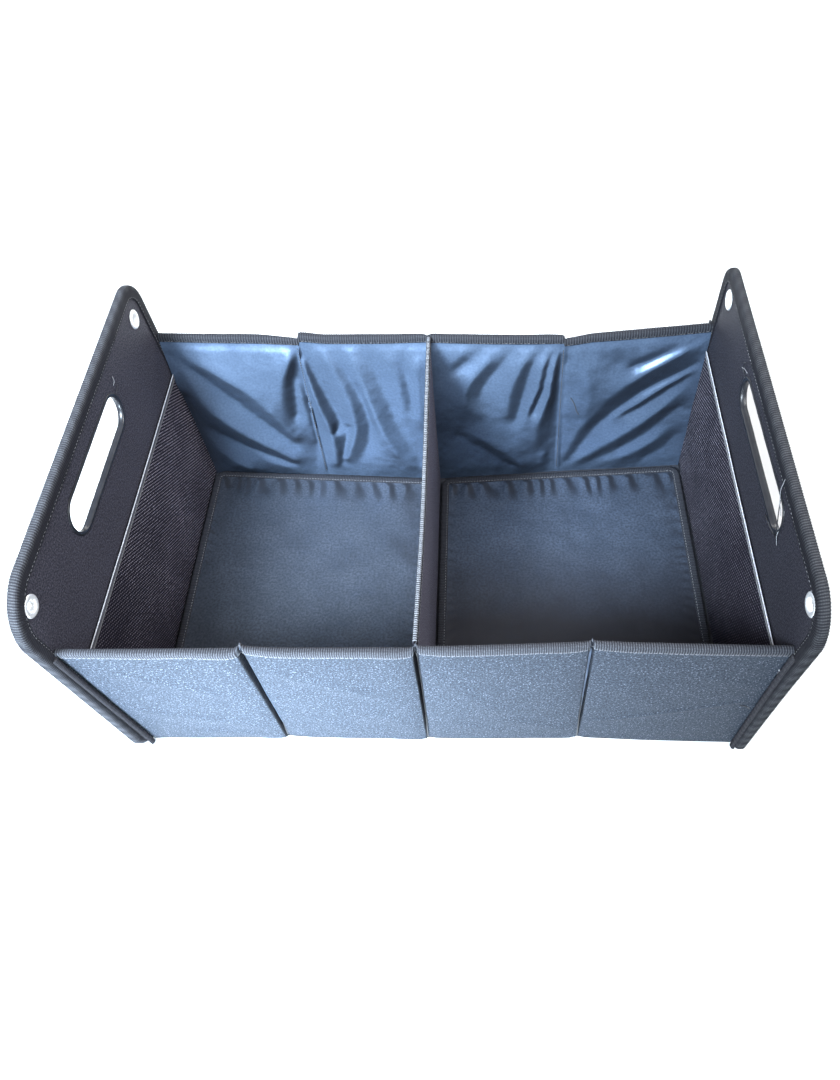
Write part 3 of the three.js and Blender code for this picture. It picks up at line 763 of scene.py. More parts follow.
LAYERS = {}
for side in ("left", "right"):
    PBOX, PRAD = OUTLINES[side]
    nc, ns = counts(PBOX, PRAD, 1.1)
    nc2, ns2 = counts(PBOX, PRAD, 3.2)
    seed = 3 if side == "left" else 31
    eyes = EYES[side]
    flat = region(
        outline(PBOX, 1.2, PRAD, nc2, ns2),
        [slot_outline(side, 0.9, 12, 20), *[circle(*e, 5.6, 28) for e in eyes]],
        3.6,
    )
    hidden = region(
        outline(PBOX, 1.2, PRAD, nc2, ns2),
        [slot_outline(side, 1.9, 10, 12), *[circle(*e, 5.7, 20) for e in eyes]],
        9.0,
    )
    P = lambda u, v, w, s=side: panel_xyz(s, u, v, w)
    rim = lambda u, v, s=side: np.exp(-((distance(np.stack([u, v], 1), slot_outline(s, 0.9)) / 2.2) ** 2))
    inner = region_solid(
        f"{side}_end_inner_cloth", flat,
        lambda u, v: P(u, v, 1.05 + panel_wrinkle(side, u, v, seed) * 0.8 - 0.1 * rim(u, v)),
        lambda u, v: P(u, v, 1.75 + 0 * u), PANEL if side == "left" else PANEL_SHADED_R,
    )
    outer = region_solid(
        f"{side}_end_outer_cloth", flat,
        lambda u, v: P(u, v, 4.3 + 0 * u),
        lambda u, v: P(u, v, 5.05 - panel_wrinkle(side, u, v, seed + 9) * 0.8 + 0.1 * rim(u, v)), PANEL,
    )
    board = region_solid(
        f"{side}_end_stiffener", hidden,
        lambda u, v: P(u, v, 2.1 + 0 * u), lambda u, v: P(u, v, 4.0 + 0 * u), BOARD, sharp=30,
    )
    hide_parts(f"{side}_end_inner_cover")
    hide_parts(f"{side}_end_outer_cover")
    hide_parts(f"{side}_end_board")

    # folded tape all round the panel's edge
    sec = [  # inset, w, outward direction (inset, w), rib height
        (11.2, 0.55, 0, 0, 0.0), (10.8, 0.02, 0, -1, 0.10), (8.2, -0.05, 0, -1, 0.10), (5.4, -0.12, 0, -1, 0.16), (2.6, -0.12, 0, -1, 0.26),
        (1.0, 0.35, -0.5, -0.8, 0.34), (0.2, 1.4, -1, -0.2, 0.38), (0.0, 3.05, -1, 0, 0.38), (0.05, 5.0, -1, 0.2, 0.38), (0.6, 6.1, -0.5, 0.8, 0.34),
        (2.4, 6.45, 0, 1, 0.26), (5.4, 6.35, 0, 1, 0.16), (8.2, 6.2, 0, 1, 0.10), (10.8, 6.08, 0, 1, 0.10), (11.2, 5.55, 0, 0, 0.0),
        (10.6, 5.35, 0, 0, 0), (2.2, 5.35, 0, 0, 0), (0.8, 4.4, 0, 0, 0), (0.8, 1.7, 0, 0, 0), (2.2, 0.75, 0, 0, 0), (10.6, 0.75, 0, 0, 0),
    ]
    base0 = outline(PBOX, 0, PRAD, nc, ns)
    N = len(base0)
    length = np.arange(N) * 1.1 - 0.55
    rib = (np.arange(N) % 2).astype(float)
    rr = np.random.default_rng(seed)
    rib = rib * (0.8 + 0.4 * rr.random(N))
    rings, uvs = [], []
    sv = 0.0
    for j, (e, w, de, dw, amp) in enumerate(sec):
        o1 = outline(PBOX, e, PRAD, nc, ns)
        if de:
            o2 = outline(PBOX, e + de * amp, PRAD, nc, ns)
            o1 = o1 + (o2 - o1) * rib[:, None]
        ripple = 0.0
        if 0 < j < 14 and e > 4:
            ripple = 0.14 * fbm(o1[:, 0], o1[:, 1], seed + 70, 14, 2) * (1 if dw > 0 else -1)
        rings.append(P(o1[:, 0], o1[:, 1], w + dw * amp * rib + ripple))
        if j:
            sv += math.hypot(e - sec[j - 1][0], w - sec[j - 1][1])
        uvs.append(np.stack([length, np.full(N, sv)], 1))
    tape = loft(f"{side}_end_edge_tape", np.stack(rings, 1), PANELTAPE if side == "left" else PANELTAPE_SHADED_R, fold_at(uvs, 7), closed=True)
    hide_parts(f"{side}_end_binding")
    # two rows of stitches hold the tape
    bag = Bag()
    for e, w, nn in ((9.6, -0.02, -1), (9.6, 6.12, 1)):
        o1 = outline(PBOX, e, PRAD, nc2, ns2)
        line = P(np.append(o1[:, 0], o1[0, 0]), np.append(o1[:, 1], o1[0, 1]), w)
        sgn = -1 if side == "left" else 1
        stitches(bag, line, (sgn * nn, 0, 0), 3.3, 2.1, 0.2, 0.14)
    st = bag.build(f"{side}_end_stitching", THREAD)
    LAYERS[side] = (inner, outer, tape, st)

    # slot rim: a glossy rolled edge through the panel
    prof = [(3.2, 0.85), (2.2, 0.45), (1.0, 0.30), (0.15, 0.75), (-0.35, 1.8), (-0.5, 3.05), (-0.35, 4.3), (0.15, 5.35), (1.0, 5.8), (2.2, 5.65), (3.2, 5.25),
            (2.2, 5.05), (1.25, 4.6), (1.0, 3.05), (1.25, 1.5), (2.2, 1.05)]
    rings, uvs, sv = [], [], 0.0
    for j, (g, w) in enumerate(prof):
        o1 = slot_outline(side, g, 26, 40)
        ripple = 0.12 * fbm(o1[:, 0], o1[:, 1], seed + 80, 7, 2)
        rings.append(P(o1[:, 0], o1[:, 1], w + ripple * (0.3 < g)))
        if j:
            sv += math.hypot(g - prof[j - 1][0], w - prof[j - 1][1])
        L = np.concatenate([[0], np.cumsum(np.linalg.norm(np.diff(o1, axis=0), axis=1))])
        uvs.append(np.stack([L, np.full(len(o1), sv)], 1))
    trim = loft(f"{side}_slot_rim", np.stack(rings, 1), TRIM, np.stack(uvs, 1), closed=True)
    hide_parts(f"{side}_handle_trim")

    # eyelets and washers
    for where, (ey, ez) in zip(("front", "rear"), eyes):
        prof = [(4.35, 1.0), (4.38, 0.45), (4.65, 0.0), (5.4, -0.42), (6.4, -0.55), (7.4, -0.30), (8.0, 0.20), (8.1, 0.62), (7.7, 0.72), (5.3, 0.74),
                (5.0, 1.2), (5.0, 5.9), (5.5, 6.35), (6.1, 6.45), (6.25, 6.75), (5.7, 7.0), (5.0, 6.95), (4.5, 6.6), (4.35, 6.0)]
        ang = np.arange(64) * 2 * pi / 64
        rings = np.stack([P(ey + r * np.cos(ang), ez + r * np.sin(ang), np.full(64, w)) for r, w in prof], 0)
        eyelet = loft(f"{side}_{where}_eyelet_ring", np.transpose(rings, (1, 0, 2)), STEEL, None, closed=True)
        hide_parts(f"{side}_{where}_eyelet")
        prof = [(5.25, 5.5), (5.25, 6.05), (6.2, 6.35), (7.6, 6.25), (8.1, 5.8), (8.1, 5.5)]
        rings = np.stack([P(ey + r * np.cos(ang), ez + r * np.sin(ang), np.full(64, w)) for r, w in prof], 0)
        washer = loft(f"{side}_{where}_washer", np.transpose(rings, (1, 0, 2)), STEEL, None, closed=True)
        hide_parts(f"{side}_{where}_eyelet_washer")

    # net pocket and its hem
    top = 137.0 if side == "left" else 149.0
    topf = lambda u, t=top, s=side: t + (0 if s == "left" else 2.2 * (np.asarray(u, float) / 150)) - 0.8 * (1 - (np.asarray(u, float) / 150) ** 2)
    us = np.linspace(-152.5, 152.5, 105)
    ts = np.linspace(0, 1, 44)
    U, T = np.meshgrid(us, ts)
    Vv = 3.2 + (topf(U) - 3.0 - 3.2) * T
    hang = -0.35 - 1.1 * np.sin(pi * T) ** 0.8 * (1 - (U / 155) ** 4) - 0.5 * fbm(U, Vv, seed + 50, 38, 3)
    hang = np.where(T > 0.97, -0.6, hang)
    Pf = P(U, Vv, hang)
    Pb = P(U, Vv, hang + 0.55)
    net = grid_solid(f"{side}_net_pocket", Pf, Pb, np.stack([U, Vv], -1), MESH if side == "left" else MESH_SHADED_R)
    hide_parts(f"{side}_mesh_pocket")
    u1, u0 = 150.5, -150.5
    us = np.linspace(u0, u1, 160)
    sec = [(-0.2, -0.9), (-0.2, -0.35), (-0.9, -0.05), (-3.0, 0.0), (-5.3, 0.05), (-5.9, -0.25), (-5.7, -0.75), (-3.0, -0.95), (-0.9, -1.25)]
    sag = 0.25 * fbm(us, us * 0, seed + 60, 30, 2)
    rings = np.stack([P(us, topf(us) + dz + sag, w - 0.15) for dz, w in sec], 1)
    uvh = np.stack([np.stack([us, np.full(160, k * 1.2)], 1) for k in range(len(sec))], 1)
    hem = loft(f"{side}_hem_band", rings, HEM, uvh)
    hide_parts(f"{side}_pocket_hem")
    # bright piped edge along the top of the hem, and a stitched line under it
    path = P(us, topf(us) + 0.1 + sag, -1.3)
    V, f = tube(path, 0.42, 8)
    edge = make(f"{side}_hem_edge", V, f, HEMEDGE, np.repeat(np.stack([us, us * 0], 1), 8, 0))
    bag = Bag()
    stitches(bag, P(us, topf(us) - 4.6 + sag, -1.12), ((1 if side == "left" else -1), 0, 0), 2.6, 1.9, 0.17, 0.1)
    bag.build(f"{side}_hem_stitching", THREAD)

for side in ("left", "right"):
    inner, outer, tape, st = LAYERS[side]

# ------------------------------------------------------------------ long walls
WALLS = {
    "front": dict(
        foot=np.array([(-238, -150), (-119.3, -147), (0.2, -146.8), (123.8, -143.8), (248, -146)], float),
        top=np.array([(-243, -154.2), (-115.4, -152.1), (1.6, -151), (116.5, -146), (241, -148.4)], float),
        height=[175.6, 175.6, 175.6, 175.6, 175.6], out=-1.0,
    ),
    "back": dict(
        foot=np.array([(-237.5, 147.6), (-115.8, 143.9), (2.3, 136.5), (123, 144.7), (240, 150.8)], float),
        top=np.array([(-242, 160.5), (-115, 154.6), (-0.4, 152.8), (116.8, 147), (240, 158.7)], float),
        height=[178.0, 177.2, 176.4, 175.8, 175.2], out=1.0,
    ),
}
Z0 = 1.0


# at each crease: how far the cloth left and right of it stands out, and how much higher its top is
STEPS = {
    "front": {1: (2.3, -1.0, -0.6, 1.6), 2: (1.9, -0.9, -1.0, 1.2), 3: (1.0, -0.4, -0.3, 0.6)},
    "back": {1: (-1.8, 1.0, -1.6, 1.8), 2: (0.0, 0.0, 0.4, 0.2), 3: (0.8, -1.0, 0.6, -2.2)},
}


def steps(name, s):
    """Offsets out of the wall and upward that make each folded section stand free of the next."""
    s = np.asarray(s, float)
    out, up = np.zeros(s.shape), np.zeros(s.shape)
    for i, (ol, orr, ul, ur) in STEPS[name].items():
        left = (s <= i) * smooth(i - 0.34, i, s)
        right = (s > i) * (1 - smooth(i, i + 0.22, s))
        out += ol * left + orr * right
        up += ul * left + ur * right
    return out, up


def wall_top(name, s):
    f = np.asarray(s, float) % 1.0
    return np.interp(s, range(5), WALLS[name]["height"]) + steps(name, s)[1] - 0.7 * np.sin(pi * f)


def face_x(side, y, z):
    """x of the inner face of an end panel at a place on a long wall."""
    k = math.cos(A) if side == "left" else math.cos(B)
    return panel_xyz(side, y, np.asarray(z, float) / k, 0.0)[..., 0]


def wall_xy(name, s, z):
    w = WALLS[name]
    s, z = np.broadcast_arrays(np.asarray(s, float), np.asarray(z, float))
    t = z / 175.6
    fx, fy = (np.interp(s, range(5), w["foot"][:, k]) for k in (0, 1))
    tx, ty = (np.interp(s, range(5), w["top"][:, k]) for k in (0, 1))
    x, y = fx + (tx - fx) * t, fy + (ty - fy) * t
    # the ends lie against the end panels
    fy0, ty0 = w["foot"][0, 1], w["top"][0, 1]
    fy4, ty4 = w["foot"][4, 1], w["top"][4, 1]
    x0 = w["foot"][0, 0] + (w["top"][0, 0] - w["foot"][0, 0]) * t
    x4 = w["foot"][4, 0] + (w["top"][4, 0] - w["foot"][4, 0]) * t
    e0 = face_x("left", fy0 + (ty0 - fy0) * t, z) + 0.15 - x0
    e4 = face_x("right", fy4 + (ty4 - fy4) * t, z) - 0.15 - x4
    x = x + e0 * np.clip(1 - s, 0, 1) + e4 * np.clip(s - 3, 0, 1)
    return x, y


def along(name, steps, fine, reach):
    """Places along a wall, closer together beside the creases."""
    out = []
    for i in range(4):
        l = WALLS[name]["foot"][i + 1, 0] - WALLS[name]["foot"][i, 0]
        a = np.arange(0, reach, fine) / l
        mid = np.linspace(reach / l, 1 - reach / l, max(3, int((l - 2 * reach) / steps)))
        out.append(i + np.concatenate([a, mid, 1 - a[::-1]]))
    return np.unique(np.round(np.concatenate(out), 6))


def crease(x, depth, left, right, t=0.5):
    """A fold line of a long wall: a narrow slot with a soft shoulder on its left."""
    w = 0.55 + 0.45 * t
    depth = depth * (0.42 + 0.58 * smooth(-0.02, 0.34, t))
    a, b = np.clip(-x, 0, None), np.clip(x, 0, None)
    core = np.where(x < 0, np.exp(-((a / (left * w)) ** 3)), np.exp(-((b / (right * w)) ** 3)))
    return depth * (core * (1 - 0.5 * smooth(0.9, 0.98, t)) + 0.34 * np.exp(-((a / 8.0) ** 1.4)) * (x < 0) + 0.10 * np.exp(-((b / 3.0) ** 1.3)) * (x >= 0) * (1 - core))


CREASES = {
    "front": [(1, 9.0, 2.2, 0.9), (2, 9.0, 1.6, 1.0), (3, 6.5, 1.3, 1.0)],
    "back": [(1, 2.6, 2.0, 2.0), (2, 3.4, 2.0, 2.0), (3, 2.6, 2.0, 2.0)],
}


def wall_in(name, s, z, inner=False):
    """How far the cloth of a long wall stands in from its plane: creases, and a slight bulge the other way."""
    s, z = np.broadcast_arrays(np.asarray(s, float), np.asarray(z, float))
    t = z / wall_top(name, s)
    x, _ = wall_xy(name, s, z)
    d = np.zeros(s.shape)
    for i, depth, l, r in CREASES[name]:
        cx, _ = wall_xy(name, np.full(s.shape, float(i)), z)
        d = d + crease(x - cx, depth, l, r, t)
    d = d - steps(name, s)[0]
    f = s - np.floor(np.clip(s, 0, 3.999))
    if not inner:
        d = d - 1.3 * np.sin(pi * np.clip(f, 0, 1)) ** 1.2 * (0.45 + 0.55 * np.sin(pi * np.clip(t, 0, 1)))
        seed = 210 if name == "front" else 260
        d = d + 0.45 * fbm(x, z, seed, 52, 3)
        # long shallow pulls that run across the panels
        for (x0, z0, x1, z1, h, w) in (PULLS if name == "front" else PULLS_BACK):
            px, pz = x - x0, z - z0
            lx, lz = x1 - x0, z1 - z0
            L = math.hypot(lx, lz)
            q = (px * lx + pz * lz) / L
            n = (px * -lz + pz * lx) / L
            d = d - h * np.exp(-((n / w) ** 2)) * smooth(-8, 14, q) * (1 - smooth(L - 14, L + 8, q))
    return d


# pulls across the front wall: from, to, height, half width
PULLS = [
    (-225, 150, -140, 95, 0.9, 7), (-232, 75, -130, 30, 0.8, 8), (-190, 20, -128, 12, 0.7, 6),
    (-108, 150, -30, 96, 1.0, 8), (-40, 70, -4, 22, 0.8, 8), (-95, 60, -60, 18, 0.6, 7),
    (8, 140, 60, 60, 0.8, 8), (60, 48, 116, 22, 0.8, 7), (24, 40, 70, 16, 0.5, 6),
    (128, 40, 236, 92, 0.9, 3.2), (130, 120, 180, 70, 0.7, 8), (180, 140, 236, 118, 0.6, 7),
]
PULLS_BACK = [
    (-225, 40, -130, 120, 0.9, 8), (-100, 140, -20, 60, 0.8, 8), (20, 50, 100, 120, 0.8, 8),
    (130, 130, 225, 60, 0.9, 8), (-200, 140, -140, 110, 0.6, 6), (150, 30, 220, 45, 0.6, 6),
]


def wall_point(name, s, z, d, flex=True):
    """d millimetres in from the outer face, with the creases."""
    x, y = wall_xy(name, s, z)
    k = wall_in(name, s, z) if flex else 0.0
    z = np.broadcast_to(np.asarray(z, float), x.shape)
    return np.stack([x, y - WALLS[name]["out"] * (d + k), z], -1)


# folds of the back lining: points along each fold as (x, z, how far it stands off the wall)
FOLDS = [
    [(-232.6, 165.0, 0.6), (-215.5, 154.2, 2.2), (-202.8, 146.3, 3.2), (-183.9, 132.6, 4.4), (-168.4, 118.3, 4.8), (-154.1, 96.1, 4.8), (-145.4, 76.6, 4), (-137.8, 59.1, 3)],
    [(-233.8, 155.7, 0.3), (-221.2, 141.5, 0.5), (-205.7, 122.7, 0.6), (-190.6, 106.9, 0.7), (-175.6, 88.0, 0.8), (-159.8, 69.7, 0.9), (-140.5, 45.1, 1.0)],
    [(-232.6, 150.6, 0.6), (-228.2, 134.3, 2), (-221.0, 110.2, 3.4), (-212.2, 92.5, 4), (-194.6, 71.7, 4.2), (-182.4, 59.7, 3.8), (-165.3, 44.6, 3.2), (-144.4, 24.7, 2.2)],
    [(-232.4, 71.0, 0.2), (-220.7, 61.7, 0.3), (-205.1, 50.9, 0.4), (-192.1, 40.5, 0.5), (-173.7, 30.0, 0.5), (-150.0, 17.9, 0.5)],
    [(-228.1, 50.4, 0.8), (-220.2, 33.4, 1.6), (-207.0, 18.9, 1.9), (-194.2, 10.1, 1.8)],
    [(-186.0, 35.5, 1.2), (-172.2, 22.6, 1.6), (-153.3, 11.8, 1.2)],
    [(-238.7, 109.9, 0), (-236.6, 84.3, 0), (-235.6, 53.1, 0), (-234.1, 13.8, 0)],
    [(-125.0, 158.6, 2.6), (-135.2, 135.6, 3.2), (-140.2, 111.4, 3.2), (-141.0, 88.5, 2.8), (-137.0, 68.7, 2.2)],
    [(-118.6, 158.6, 0.6), (-125.4, 133.4, 0.5), (-132.6, 86.1, 0.6)],
    [(-125.8, 128.6, 1.2), (-123.3, 111.6, 1.8), (-121.2, 86.3, 1.2), (-119.2, 52.6, 1.0)],
    [(-116.5, 159.8, 1.6), (-114.8, 147.4, 2.6), (-110.7, 124.0, 3.2), (-106.0, 95.5, 3.4), (-100.2, 70.8, 3.2), (-99.5, 46.1, 2.6), (-102.4, 20.0, 1.6)],
    [(-112.4, 155.3, 0.3), (-107.7, 138.2, 0.3), (-101.6, 116.7, 0.3), (-95.4, 95.7, 0.3), (-92.1, 78.9, 0.4), (-97.1, 65.5, 0.6)],
    [(-94.6, 165.1, 1.6), (-87.1, 143.8, 2.3), (-79.9, 124.0, 2.8), (-75.4, 102.1, 3.0), (-75.3, 80.5, 3.0), (-79.9, 60.5, 2.6), (-92.5, 27.7, 1.6)],
    [(-89.2, 165.0, 0.9), (-78.3, 141.5, 1.0), (-69.4, 119.2, 1.1), (-63.6, 97.3, 1.2), (-61.2, 76.9, 1.2), (-64.8, 54.1, 1.1), (-77.0, 28.3, 0.8)],
    [(-96.0, 62.8, 1.9), (-96.5, 46.2, 1.8), (-99.9, 23.0, 1.4)],
    [(-82.1, 73.8, 0.8), (-89.3, 46.4, 0.6), (-97.2, 20.2, 0.5)],
    [(-69.7, 164.7, 1.6), (-64.7, 141.4, 2.6), (-58.8, 114.5, 3.3), (-54.0, 89.8, 3.6), (-48.5, 67.9, 3.6), (-38.9, 43.8, 3.2), (-21.6, 19.0, 1.6)],
    [(-60.2, 163.5, 0.8), (-49.7, 137.9, 1.0), (-43.2, 112.1, 1.2), (-37.9, 87.5, 1.3), (-32.0, 67.0, 1.3), (-20.2, 40.3, 1.2), (-16.2, 23.5, 0.8)],
    [(-35.1, 157.8, 1.6), (-30.4, 141.2, 2.2), (-27.5, 121.7, 2.4), (-26.5, 87.7, 2.0)],
    [(-28.0, 158.8, 0.9), (-22.9, 144.5, 1.2), (-19.2, 121.7, 1.5), (-18.4, 94.0, 1.6)],
    [(-6.5, 165.0, 1.4), (-12.5, 146.7, 2.6), (-13.5, 118.2, 2.8), (-13.1, 87.9, 2.4), (-12.4, 68.7, 1.6)],
    [(38.2, 168.3, 1.2), (26.9, 159.1, 1.6), (16.5, 149.9, 1.2)],
    [(46.8, 166.7, 0.6), (35.5, 153.2, 0.7), (22.9, 141.0, 0.6)],
    [(63.9, 166.8, 1.2), (52.0, 154.3, 2.2), (37.9, 137.5, 2.8), (30.9, 119.1, 3.0), (31.1, 104.7, 2.8), (42.1, 90.7, 2.2)],
    [(73.3, 164.2, 0.7), (61.7, 146.5, 1.0), (48.6, 127.1, 1.2), (44.0, 114.1, 1.3), (49.5, 100.6, 1.3), (57.9, 92.8, 1.6)],
    [(90.3, 165.9, 1.4), (81.5, 150.9, 2.3), (73.6, 128.0, 2.9), (70.2, 103.8, 2.9), (71.0, 89.9, 2.6)],
    [(97.9, 165.4, 0.8), (90.4, 146.4, 1.0), (86.2, 123.1, 1.1), (81.8, 98.5, 1.2), (78.8, 79.3, 1.4)],
    [(103.9, 164.3, 1.4), (99.9, 146.4, 2.6), (97.4, 122.9, 3.2), (89.3, 94.5, 3.0), (84.2, 72.4, 2.4)],
    [(107.9, 162.1, 0.7), (104.0, 142.9, 0.9), (102.0, 120.4, 1.0), (94.5, 91.8, 1.1)],
    [(112.3, 163.2, 1.2), (108.1, 140.6, 2.8), (107.1, 116.7, 3.4), (100.8, 87.7, 3.2), (99.3, 65.0, 2.6), (98.5, 44.0, 2.0)],
    [(114.7, 157.7, 0.2), (115.2, 122.7, 0.3), (114.9, 84.6, 0.4), (113.6, 50.3, 0.5)],
    [(29.6, 71.9, 1.4), (50.6, 56.3, 2.2), (70.4, 38.5, 2.2), (86.9, 16.8, 1.6)],
    [(23.6, 62.9, 0.7), (44.8, 43.5, 0.8), (63.7, 26.7, 0.8), (77.0, 14.6, 0.5)],
    [(108.0, 31.8, 1.4), (107.0, 16.8, 1.2)],
    [(112.6, 35.9, 0.3), (115.2, 13.1, 0.2)],
    [(127.5, 156.9, 1.0), (139.2, 142.2, 2.6), (143.9, 124.7, 3.4), (144.5, 97.9, 3.2), (142.8, 77.9, 2.4)],
    [(120.7, 144.2, 0.7), (124.9, 106.4, 1.0), (126.3, 68.3, 0.7)],
    [(165.2, 145.4, 1.6), (185.9, 150.1, 2.2), (202.0, 158.6, 2.2), (215.5, 165.5, 1.2)],
    [(178.8, 138.1, 0.8), (195.9, 143.3, 1.0), (209.6, 151.1, 0.9)],
    [(210.5, 151.0, 1.2), (224.0, 158.0, 1.8), (234.7, 165.1, 1.0)],
    [(129.2, 22.0, 0.8), (141.0, 66.9, 2.6), (160.5, 105.4, 3.8), (180.7, 125.9, 4.2), (200.4, 142.9, 4.0), (220.6, 153.3, 3.0), (231.8, 158.3, 1.6)],
    [(132.8, 15.5, 0.3), (153.8, 65.8, 0.5), (173.1, 88.5, 0.6), (192.8, 107.3, 0.7), (209.3, 118.8, 0.7), (225.9, 127.3, 0.6), (236.6, 136.3, 0.4)],
    [(170.8, 77.3, 1.6), (190.2, 94.8, 2.4), (206.1, 111.1, 2.6), (224.9, 123.3, 2.0), (235.8, 131.7, 1.0)],
    [(182.0, 79.7, 1.0), (197.4, 90.9, 1.1), (212.7, 105.4, 1.0), (231.5, 122.0, 0.7)],
    [(140.3, 13.3, 0.8), (164.2, 36.7, 2.2), (181.8, 54.1, 3.0), (198.8, 70.7, 3.2), (214.9, 87.9, 2.8), (231.9, 111.0, 1.4)],
    [(150.8, 10.9, 0.4), (173.6, 26.1, 0.7), (193.4, 42.3, 0.9), (206.4, 54.1, 0.9), (218.3, 69.6, 0.7), (231.5, 85.7, 0.4)],
    [(166.4, 10.5, 0.7), (191.5, 21.7, 1.8), (205.0, 32.6, 2.2), (217.6, 46.0, 1.8), (228.0, 59.2, 1.0)],
    [(207.9, 14.3, 0.2), (225.9, 27.9, 0.2), (236.9, 48.6, 0.2)],
    # seams at the quarter lines
    [(-116.8, 168, 0.1), (-116.6, 60, 0.2), (-115.8, 8, 0.1)],
    [(116.6, 168, 0.1), (119.5, 90, 0.2), (122.3, 8, 0.1)],
]
FX, FZ = np.arange(-250, 250.1, 1.5), np.arange(-6, 184, 1.5)


def relax(lines, gain=1.0):
    """A height field that passes through the given lines and is slack between them."""
    h = np.zeros((len(FZ), len(FX)))
    fixed = np.zeros(h.shape, bool)

    def stamp(x, z, v):
        i = np.clip(np.round((z - FZ[0]) / 1.5).astype(int), 0, len(FZ) - 1)
        j = np.clip(np.round((x - FX[0]) / 1.5).astype(int), 0, len(FX) - 1)
        h[i, j] = v
        fixed[i, j] = True

    for line in lines:
        L = np.array(line, float)
        for a, b in zip(L[:-1], L[1:]):
            k = np.linspace(0, 1, int(np.hypot(*(b - a)[:2]) / 0.5) + 2)
            q = a + (b - a) * k[:, None]
            k2 = gain * (0.86 if L[:, 2].max() > 4.1 else 1.0) * (0.45 if L[0, 0] > 160 and L[0, 1] > 135 else 0.72 if L[0, 0] > 124 else 1.0)
            stamp(q[:, 0], q[:, 1], q[:, 2] * k2 * np.clip((178 - q[:, 1]) / 24, 0.35, 1))
    h[-8:], fixed[-8:] = 0.8, True
    h[:4], fixed[:4] = 0.9, True
    # relax coarsely with a wide stencil, then finely
    known = np.argwhere(fixed)
    coarse = h.copy()
    for _ in range(60):
        avg = (np.roll(coarse, 3, 0) + np.roll(coarse, -3, 0) + np.roll(coarse, 3, 1) + np.roll(coarse, -3, 1)) / 4
        coarse = np.where(fixed, h, avg)
    g = coarse
    for _ in range(900):
        avg = g.copy()
        avg[1:-1, 1:-1] = (g[2:, 1:-1] + g[:-2, 1:-1] + g[1:-1, 2:] + g[1:-1, :-2]) / 4
        avg[:, 0], avg[:, -1] = avg[:, 1], avg[:, -2]
        g = np.where(fixed, h, avg)
    k = np.exp(-(np.arange(-4, 5) ** 2) / (2 * 1.15**2))
    k /= k.sum()
    g = np.apply_along_axis(lambda r: np.convolve(np.pad(r, 4, "edge"), k, "valid"), 1, g)
    g = np.apply_along_axis(lambda r: np.convolve(np.pad(r, 4, "edge"), k, "valid"), 0, g)
    return g


def field(g, x, z):
    fx = np.clip((x - FX[0]) / 1.5, 0, len(FX) - 1.001)
    fz = np.clip((z - FZ[0]) / 1.5, 0, len(FZ) - 1.001)
    j, i = fx.astype(int), fz.astype(int)
    a, b = fx - j, fz - i
    return lerp(lerp(g[i, j], g[i, j + 1], a), lerp(g[i + 1, j], g[i + 1, j + 1], a), b)


BACKF = relax(FOLDS, 2.8)
FRONTF = relax([[(-x * 0.98, 176 - z if 8 < z < 160 else z, h * 0.9) for x, z, h in line] for line in FOLDS[:-2]], 0.9)


def lining_in(name, s, z):
    """Distance of the lining's visible face from the wall's outer face."""
    x, _ = wall_xy(name, s, z)
    g = field(BACKF if name == "back" else FRONTF, x, z)
    t = z / wall_top(name, s)
    under = smooth(0.92, 0.99, t)
    puck = 0.16 * np.sin(x / 2.3 + 2.2 * vnoise(x, z, 91, 20)) * np.exp(-(((t - 0.93) / 0.05) ** 2))
    fine = 0.30 * fbm(x, z, 95, 13, 3) + 0.10 * fbm(x + z, (z - x) * 0.4, 97, 5, 2)
    d = 3.95 - 0.55 * under + (g + fine + puck) * (1 - under) + 0.4 * under
    w = wall_in(name, s, z)
    return np.maximum(d, w + 3.4 - 1.3 * under - 1.4 * smooth(1.5, 3.5, w))


